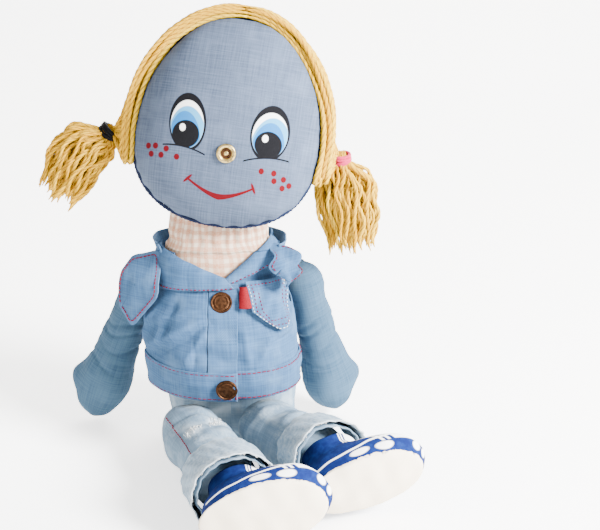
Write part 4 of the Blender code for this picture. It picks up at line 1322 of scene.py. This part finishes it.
def collar():
    """The smooth wing, the crumpled wing and the stand behind the neck."""
    strands = Strands()
    line = flap("wing_right_cloth", "collar_wing_right", 0.0020, 51, 0.0006)
    stitch_line(strands, line, length=0.0030, gap=0.0004)
    line = flap("wing_left_cloth", "collar_wing_left", 0.0040, 53, 0.0042,
                shift=(-0.0065, 0.0, 0.0020))
    stitch_line(strands, line, length=0.0030, gap=0.0006)
    sewn(strands, "collar_stitching")
    low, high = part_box("collar_stand")
    z = np.linspace(low[2] - 0.003, high[2], 26)[:, None]
    turn = np.linspace(math.radians(62), math.radians(298), 150)[None, :]
    z, turn = np.broadcast_arrays(z, turn)
    grid = torso_point(turn, np.full_like(z, low[2] - 0.002), 0.0065 + 0.35 * (z - low[2]))
    grid = np.concatenate([grid[..., :2], z[..., None]], axis=-1)
    grid = grid + normals_out(turn) * (ripple(grid, 0.02, 57) * 0.0006)[..., None]
    cloth_piece("collar_stand_cloth", "collar_stand", grid, np.stack([turn * SEAT_SPAN, z], axis=-1),
                thick=CLOTH * 1.4)


def pocket():
    """The breast pocket with a pale frayed edge and two rows of plain stitches, and its red tab."""
    grid, uv, turn, z = panel_grid("pocket", 0.0056, 60, 50)
    grid = grid + normals_out(turn) * (folds(grid, turn) + 0.0004 * ripple(grid, 0.01, 61))[..., None]
    grid[..., 2] += POCKET_RISE
    cloth_piece("pocket_cloth", "pocket", grid, uv)
    red, white = Strands(), Strands()
    for inset, strands in ((0.035, white), (0.11, red), (0.20, red)):
        a, b = inset, 1 - inset
        rows, columns = grid.shape[:2]
        loop = [(a, b), (a, 0.5), (a, a), (0.5, a), (b, a), (b, 0.5), (b, b)]
        path = []
        for (u0, v0), (u1, v1) in zip(loop[:-1], loop[1:]):
            for s in np.linspace(0, 1, 20)[:-1]:
                u, v = u0 + (u1 - u0) * s, v0 + (v1 - v0) * s
                path.append(grid[int(round(v * (rows - 1))), int(round(u * (columns - 1)))])
        path = np.array(path) + np.array((0.0, -0.0008, 0.0))
        radius = 0.00022 if strands is white else 0.00038
        stitch_line(strands, smooth(path, 2), length=0.0020, gap=0.0010, radius=radius)
    top = grid[-5] + np.array((0.0, -0.0008, 0.0))
    stitch_line(red, top, length=0.0020, gap=0.0010)
    sewn(red, "pocket_stitching")
    sewn(white, "pocket_edge_thread", "torso", "white_thread")
    grid, uv, turn, z = panel_grid("pocket_tab", 0.0060, 30, 16)
    part = np.linspace(0, 1, 16)[None, :]
    grid[..., 2] += TAB_RISE
    grid = grid + normals_out(turn) * (0.0022 * np.sin(math.pi * part) ** 0.7 * np.ones((30, 1)))[..., None]
    cloth_piece("pocket_tab_tape", "pocket_tab", grid, uv, slot="tab_red", look="tab")


def smooth(path, times):
    """A path with its corners softened."""
    for _ in range(times):
        path = np.concatenate([path[:1], (path[:-2] + 2 * path[1:-1] + path[2:]) / 4, path[-1:]])
    return path


# ---------------------------------------------------------------- limbs
def limb_table(names, origin, along, across, deep):
    """Stations of a limb: distance along, centre across and deep, half sizes."""
    local = (points_of(*names) - origin) @ np.stack([along, across, deep]).T
    rows = []
    for ring, low, high in slices(local, 0, 0.0012):
        if len(ring) > 6:
            rows.append((ring[:, 0].mean(), *((low + high) / 2)[1:], *((high - low) / 2)[1:]))
    return np.array(sorted(rows))


def limb_axes(stuffing, origin, level):
    """Unit vectors along, across and deep for a limb; deep is as near to level as it can be."""
    middle, ways = principal(points_of(stuffing))
    along = ways[0] * np.sign((middle - origin) @ ways[0])
    level = np.array(level, float)
    deep = unit(level - along * (along @ level))
    return along, np.cross(deep, along), deep


def limb_grid(table, origin, axes, run, columns, extra=None):
    """Rings of points round a limb at distances run along it."""
    along, across, deep = axes
    values = through(run, table[:, 0], table[:, 1:])
    values[:, 2:] = np.maximum(values[:, 2:], 0.002)
    turn = circle(columns)
    centre = origin + along * run[:, None] + across * values[:, :1] + deep * values[:, 1:2]
    grid = (centre[:, None] + across * (values[:, 2:3] * np.cos(turn))[..., None]
            + deep * (values[:, 3:4] * np.sin(turn))[..., None])
    out = across * np.cos(turn)[None, :, None] + deep * np.sin(turn)[None, :, None]
    out = np.broadcast_to(out, grid.shape)
    if extra is not None:
        grid = grid + out * extra(run[:, None], turn[None, :], grid)[..., None]
    return grid, out, turn


def limb_uv(run, turn, radius):
    wrapped = np.concatenate([turn, [2 * math.pi]])
    return np.stack(np.broadcast_arrays(wrapped[None, :] * radius, run[:, None]), axis=-1)


def arm(side, name):
    """A stuffed arm with its mitten hand, a thumb and creases at the elbow."""
    origin = np.array(JOINTS[f"shoulder_{name}"]["pos_m"])
    axes = limb_axes(f"arm_{name}_stuffing", origin, (0, 1, 0))
    nodes = [f"arm_{name}_{part}" for part in ("front_panel", "back_panel")]
    table = limb_table(nodes, origin, *axes)
    length = table[-1, 0]
    outward = math.pi if axes[1][0] * side < 0 else 0.0

    def shape(run, turn, grid):
        off = wrap_angle(turn - outward + THUMB_TURN * side)
        thumb = np.exp(-((run - 0.79 * length) / 0.011) ** 2) * np.exp(-(off / 0.50) ** 2)
        groove = np.exp(-((run - 0.885 * length) / 0.0035) ** 2) * np.exp(-(off / 0.45) ** 2)
        bends = sum(deep * (0.5 - 0.5 * np.cos(turn - lean))
                    * np.exp(-((run - place * length - 0.004 * np.sin(turn * 2 + place * 9)) / 0.0022) ** 2)
                    for place, deep, lean in ((0.30, 0.0012, 1.2), (0.36, 0.0015, 2.2), (0.47, 0.0011, 0.8),
                                              (0.60, 0.0009, 2.6)))
        seam = np.exp(-(np.sin(turn) / 0.05) ** 2) * 0.0006
        pull = np.cos(run * 700) * np.exp(-(np.sin(turn) / 0.16) ** 2) * 0.00022
        uneven = 0.0007 * ripple(grid, 0.03, 71) * ease(run / 0.01)
        return 0.0066 * thumb - 0.0020 * groove - bends - seam + pull + uneven

    run = np.linspace(table[0, 0] - 0.001, length, 190)
    grid, out, turn = limb_grid(table, origin, axes, run, ARM_COLUMNS, shape)
    piece = skin(f"arm_{name}_cover", grid, LOOKS["arm"], closed=True, ends=(True, True),
                 uv=limb_uv(run, turn, 0.016))
    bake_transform(piece)
    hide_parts(*nodes, f"arm_{name}_stuffing")
    strands = Strands()
    share = ((outward - THUMB_TURN * side) % (2 * math.pi)) / (2 * math.pi)
    row = int(np.argmin(np.abs(run - 0.885 * length)))
    reach = [(int(share * ARM_COLUMNS) + k) % ARM_COLUMNS for k in range(-13, 14)]
    path = grid[row, reach] + out[row, reach] * 0.0002
    stitch_line(strands, path, length=0.0016, gap=0.0011, radius=0.00025)
    sewn(strands, f"thumb_{name}_stitches", f"arm_{name}", "piping")


def leg(side, name):
    """A leg of the jeans: soft folds, a red side stitch, frayed spots and the rolled cuff."""
    origin = np.array(JOINTS[f"hip_{name}"]["pos_m"])
    axes = limb_axes(f"leg_{name}_stuffing", origin, (0, 0, 1))
    nodes = [f"leg_{name}_{part}" for part in ("front_panel", "back_panel")]
    table = limb_table(nodes, origin, *axes)
    length = table[-1, 0]

    def shape(run, turn, grid):
        upper = 0.5 + 0.5 * np.sin(turn)
        bends = sum(deep * np.exp(-((run - place * length - 0.008 * np.sin(turn + place * 7)) / wide) ** 2)
                    * (0.35 + 0.65 * (0.5 + 0.5 * np.cos(turn - lean)))
                    for place, deep, wide, lean in (
                        (0.16, -0.0022, 0.005, 1.0), (0.24, 0.0020, 0.005, 1.9), (0.42, -0.0014, 0.006, 2.3),
                        (0.58, 0.0015, 0.006, 0.9), (0.70, -0.0020, 0.005, 1.5), (0.78, 0.0016, 0.004, 2.0)))
        return bends + 0.0010 * ripple(grid, 0.028, 81 + side) + 0.0003 * ripple(grid, 0.010, 83) * upper

    run = np.linspace(table[0, 0] - 0.001, length * LEG_END, 150)
    grid, out, turn = limb_grid(table, origin, axes, run, LEG_COLUMNS, shape)
    # the upper side of each leg is made paler, varied by a ripple; the frayed spots are added next
    worn = 0.35 * ease((0.5 + 0.5 * np.sin(turn)) * 1.2 - 0.3)[None, :] + ripple(grid, 0.02, 85) * 0.15
    for place, lean in zip(FRAY_PLACES, FRAY_TURNS):
        spot = np.exp(-((run[:, None] - place * length) / 0.006) ** 2
                      - (wrap_angle(turn[None, :] - lean) / 0.22) ** 2)
        worn = worn + spot * 1.2 * (side < 0)
    piece = skin(f"leg_{name}_cover", grid, LOOKS["jeans"], closed=True, ends=(True, True),
                 uv=limb_uv(run, turn, 0.0235), marks={"worn": np.clip(worn, 0, 1)})
    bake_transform(piece)
    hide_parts(*nodes, f"leg_{name}_stuffing")
    if side < 0:
        leg_details(name, axes, grid, out, run, length)
    cuff(side, name, origin, axes)


def leg_details(name, axes, grid, out, run, length):
    """The red side stitch and the loose white threads of the frayed spots."""
    strands = Strands()
    lean = 2.50 if axes[1][0] > 0 else 0.64
    column = int(lean / (2 * math.pi) * LEG_COLUMNS)
    rows = np.where((run > -0.004) & (run < 0.78 * length))[0]
    path = grid[rows, column] + out[rows, column] * 0.0003
    stitch_line(strands, path, length=0.0036, gap=0.0005, radius=0.0004)
    sewn(strands, f"leg_{name}_stitching", f"leg_{name}")
    fray = Strands()
    between = sum(FRAY_PLACES) / 2 * length
    for k in range(60):
        draw = np.random.default_rng(500 + k)
        place = draw.choice(FRAY_PLACES) * length + draw.normal() * 0.004
        angle = FRAY_TURNS[0 if place < between else 1] + draw.normal() * 0.16
        row = int(np.argmin(np.abs(run - place)))
        spot = int(angle / (2 * math.pi) * LEG_COLUMNS) % LEG_COLUMNS
        here, away = grid[row, spot], out[row, spot]
        t = np.linspace(0, 1, 6)[:, None]
        path = here + axes[0] * (t - 0.5) * draw.uniform(0.002, 0.006) + away * 0.0009 * np.sin(math.pi * t)
        fray.add(path + axes[1] * draw.normal() * 0.001 * t ** 2, 0.00018, sides=4, taper=0.5)
    sewn(fray, f"leg_{name}_frays", f"leg_{name}", "white_thread")


def cuff(side, name, origin, axes):
    """The rolled cuff: two turns of cloth with a soft roll and a frayed pale edge."""
    along, across, deep = axes
    table = limb_table([f"cuff_{name}"], origin, *axes)
    first, last = table[0, 0], table[-1, 0]
    outer = table[:, 3].max() + 0.0012
    inner = outer - 0.0032
    middle = table[:, 1:3].mean(axis=0)
    columns = 150
    turn = circle(columns)
    corners = [(last + 0.0030, inner - 0.0006), (last - 0.004, inner), (first + 0.006, inner),
               (first + 0.001, inner + 0.0004), (first - 0.0004, inner + 0.0020),
               (first + 0.0012, outer - 0.0004), (first + 0.006, outer), (last - 0.008, outer),
               (last + 0.0012, outer + 0.0002),
               (last + 0.0046, outer + 0.0008)]
    profile = round_profile(corners, 6)
    rings = []
    for distance, radius in profile:
        local = radius * (1 + 0.012 * np.sin(3 * turn + side) + 0.008 * np.sin(7 * turn + 2 * side)) \
            + 0.0004 * np.sin(19 * turn + distance * 300)
        shift = distance + 0.0016 * np.sin(2 * turn + side) + 0.0007 * np.sin(9 * turn)
        rings.append(origin + along * shift[:, None] + across * (middle[0] + local * np.cos(turn))[:, None]
                     + deep * (middle[1] + local * np.sin(turn))[:, None])
    grid = np.array(rings)
    run = along_path(profile)
    part = run / run[-1]
    faded = (0.55 * ease((part - 0.42) / 0.1) + np.exp(-(1 - part) / 0.05)
             + 0.5 * np.exp(-((part - 0.47) / 0.05) ** 2))
    worn = np.broadcast_to(faded[:, None], grid.shape[:2])
    piece = skin(f"cuff_{name}_roll", grid, LOOKS["jeans"], closed=True, uv=limb_uv(run, turn, 0.026),
                 marks={"worn": worn}, thick=CLOTH)
    wear(piece, f"leg_{name}", "jeans_denim", f"cuff_{name}")
    fray = Strands()
    for k in range(150):
        draw = np.random.default_rng(700 + k + 300 * (side > 0))
        spot = draw.integers(columns)
        here = grid[-1, spot]
        away = across * math.cos(turn[spot]) + deep * math.sin(turn[spot])
        t = np.linspace(0, 1, 5)[:, None]
        path = here + along * t * draw.uniform(0.0008, 0.0028) + away * (t * draw.uniform(-0.0006, 0.0010))
        sideways = across * -math.sin(turn[spot]) + deep * math.cos(turn[spot])
        fray.add(path + sideways * t ** 2 * draw.normal() * 0.0008, 0.00017, sides=4, taper=0.4)
    sewn(fray, f"cuff_{name}_fray", f"leg_{name}", "white_thread")


def foot_axes(name):
    """The middle of the sole, with the ways to the toe, across and out of the sole."""
    middle, ways = principal(points_of(f"shoe_{name}_sole"))
    ankle = np.array(JOINTS[f"ankle_{name}"]["pos_m"])
    toe = ways[0] * np.sign((middle - ankle) @ ways[0])
    out = ways[2] * np.sign((middle - points_of(f"foot_{name}_stuffing").mean(axis=0)) @ ways[2])
    across = np.cross(out, toe)
    return middle, toe, across * np.sign(across[2]), out


def foot(side, name):
    """A stuffed shoe: a crowned sole, rounded into the printed upper that runs into the cuff."""
    middle, toe, across, out = foot_axes(name)
    axes = np.stack([toe, across, out])
    upper = (points_of(f"shoe_{name}_upper") - middle) @ axes.T
    sole = (points_of(f"shoe_{name}_sole") - middle) @ axes.T
    face = sole[:, 2].max()
    stations = [((low[2] + high[2]) / 2, (low[0] + high[0]) / 2, *((high - low) / 2)[:2])
                for _, low, high in slices(upper, 2, 0.0007)]
    table = np.array(sorted(stations, reverse=True))
    long, wide = sole[:, 0].max(), sole[:, 1].max()
    turn = circle(156) - math.pi / 2
    rings, prints = [], []
    for part in np.linspace(0.02, 0.97, 34):
        crown = 0.0050 * (1 - part ** 2.6)
        rings.append(foot_ring(turn, 0.0, long * part, wide * part, face - 0.0012 + crown))
        prints.append(part * 0.16)
    down = np.linspace(0, 1, 46)
    depth = (face - 0.0026) + (table[-1, 0] - FOOT_TUCK - (face - 0.0026)) * down
    shift, half, breadth = (np.interp(-depth, -table[:, 0], table[:, k]) for k in (1, 2, 3))
    for k, d in enumerate(depth):
        puff = 0.0016 * math.sin(math.pi * min(1.0, down[k] * 1.6))
        puff -= 0.0014 * ease((down[k] - 0.45) / 0.35)
        bulge = math.sin(math.pi * min(1.0, down[k] * 1.25))
        toe_puff = 0.0055 * bulge * np.maximum(np.cos(turn), 0.0) ** 1.5
        ring = foot_ring(turn, shift[k] + toe_puff, half[k] + puff, breadth[k] + puff, d)
        ring[:, 1] += TOE_DOME * bulge * np.exp(-((turn - TOE_DOME_TURN) / 0.55) ** 2)
        rings.append(ring)
        prints.append(0.17 + 1.9 * down[k])
    local = np.array(rings)
    seam = np.cos(turn * 44)[None, :] * np.exp(-((np.array(prints) - 0.17) / 0.02) ** 2)[:, None] * 0.00030
    local[..., 2] += seam
    local = local + (ripple(local, 0.024, 91 + side) * 0.0006)[..., None] * np.array([0.3, 0.3, 1.0])
    grid = local @ axes + middle
    wrapped = np.concatenate([turn, [turn[-1] + (turn[1] - turn[0])]])
    uv = np.stack(np.broadcast_arrays(wrapped[None, :], np.array(prints)[:, None]), axis=-1)
    piece = skin(f"shoe_{name}_cover", grid, LOOKS["shoe"], closed=True, ends=(True, True), uv=uv)
    wear(piece, f"foot_{name}", "shoe_blue", f"shoe_{name}_upper", f"shoe_{name}_sole",
         f"foot_{name}_stuffing")


def foot_ring(turn, shift, half, breadth, height):
    """A shoe-shaped oval, rounder at the toe."""
    x = half * np.cos(turn) + shift
    y = breadth * np.sin(turn) * (1 + 0.10 * np.cos(turn))
    return np.stack([x, y, np.full_like(turn, height)], axis=-1)


# ---------------------------------------------------------------- the room
def lamp(name, place, aim, size, power_watts, colour):
    """A large soft light that points at the doll."""
    light = bpy.data.lights.new(name, 'AREA')
    light.shape = 'DISK'
    light.size = size
    light.energy = power_watts
    light.color = colour
    holder = bpy.data.objects.new(name, light)
    holder.location = place
    holder.rotation_euler = (Vector(aim) - Vector(place)).to_track_quat('-Z', 'Y').to_euler()
    bpy.context.scene.collection.objects.link(holder)


def studio():
    """A pale floor that curves up behind, soft lights and the camera."""
    z = np.array([0.0, 0.0, 0.0, 0.02, 0.15, 0.60, 1.8])
    y = np.array([-2.2, 0.4, 0.8, 1.05, 1.35, 1.55, 1.6])
    fine = np.linspace(0, 1, 80)
    spots = np.linspace(0, 1, len(y))
    profile_y, profile_z = np.interp(fine, spots, y), np.interp(fine, spots, z)
    for _ in range(6):
        profile_y[1:-1] = (profile_y[:-2] + 2 * profile_y[1:-1] + profile_y[2:]) / 4
        profile_z[1:-1] = (profile_z[:-2] + 2 * profile_z[1:-1] + profile_z[2:]) / 4
    grid = np.stack(np.broadcast_arrays(np.linspace(-2.4, 2.4, 9)[None, :], profile_y[:, None],
                                        profile_z[:, None]), axis=-1)
    shade = Shade("pale_floor", 0.85)
    shade.shader.inputs["Emission Color"].default_value = (1.0, 0.985, 0.96, 1.0)
    shade.shader.inputs["Emission Strength"].default_value = FLOOR_GLOW
    grain = shade.noise(shade.place(), (0.35, 0.35, 0.35), 2)
    floor = skin("floor", grid, shade.finish(shade.mix(grain, (0.93, 0.92, 0.90), (0.91, 0.90, 0.885))))
    floor.location.z = -0.0002
    world = bpy.data.worlds.new("studio")
    world.use_nodes = True
    world.node_tree.nodes["Background"].inputs[0].default_value = (0.96, 0.97, 1.0, 1.0)
    world.node_tree.nodes["Background"].inputs[1].default_value = 1.35
    bpy.context.scene.world = world
    aim = (0.0, 0.0, 0.14)
    lamp("key", (1.45, -0.80, 1.05), aim, 0.7, 330.0, (0.97, 0.985, 1.0))
    lamp("fill", (-1.2, -1.0, 0.9), aim, 1.2, 12.0, (1.0, 0.93, 0.84))
    lamp("rim", (0.3, 1.0, 1.2), aim, 0.9, 30.0, (1.0, 1.0, 1.0))
    camera = bpy.data.cameras.new("camera")
    camera.lens = CAMERA_LENS
    camera.sensor_width = 36.0
    holder = bpy.data.objects.new("camera", camera)
    holder.location = CAMERA_PLACE
    holder.rotation_euler = (math.pi / 2 - CAMERA_DOWN, 0.0, 0.0)
    bpy.context.scene.collection.objects.link(holder)
    bpy.context.scene.camera = holder


def build():
    """Every piece of the doll."""
    head_cover()
    head_piping()
    nose_rivet()
    hair()
    parting()
    pigtail(-1, "right", "elastic_black", LOOKS["black"])
    pigtail(1, "left", "elastic_pink", LOOKS["pink"])
    shirt()
    jeans_seat()
    jacket()
    jacket_stitching()
    for name in ("button_top", "button_bottom"):
        tack_button(name)
    lapels()
    collar()
    pocket()
    for side, name in ((-1, "right"), (1, "left")):
        arm(side, name)
        leg(side, name)
        foot(side, name)


studio()
build()
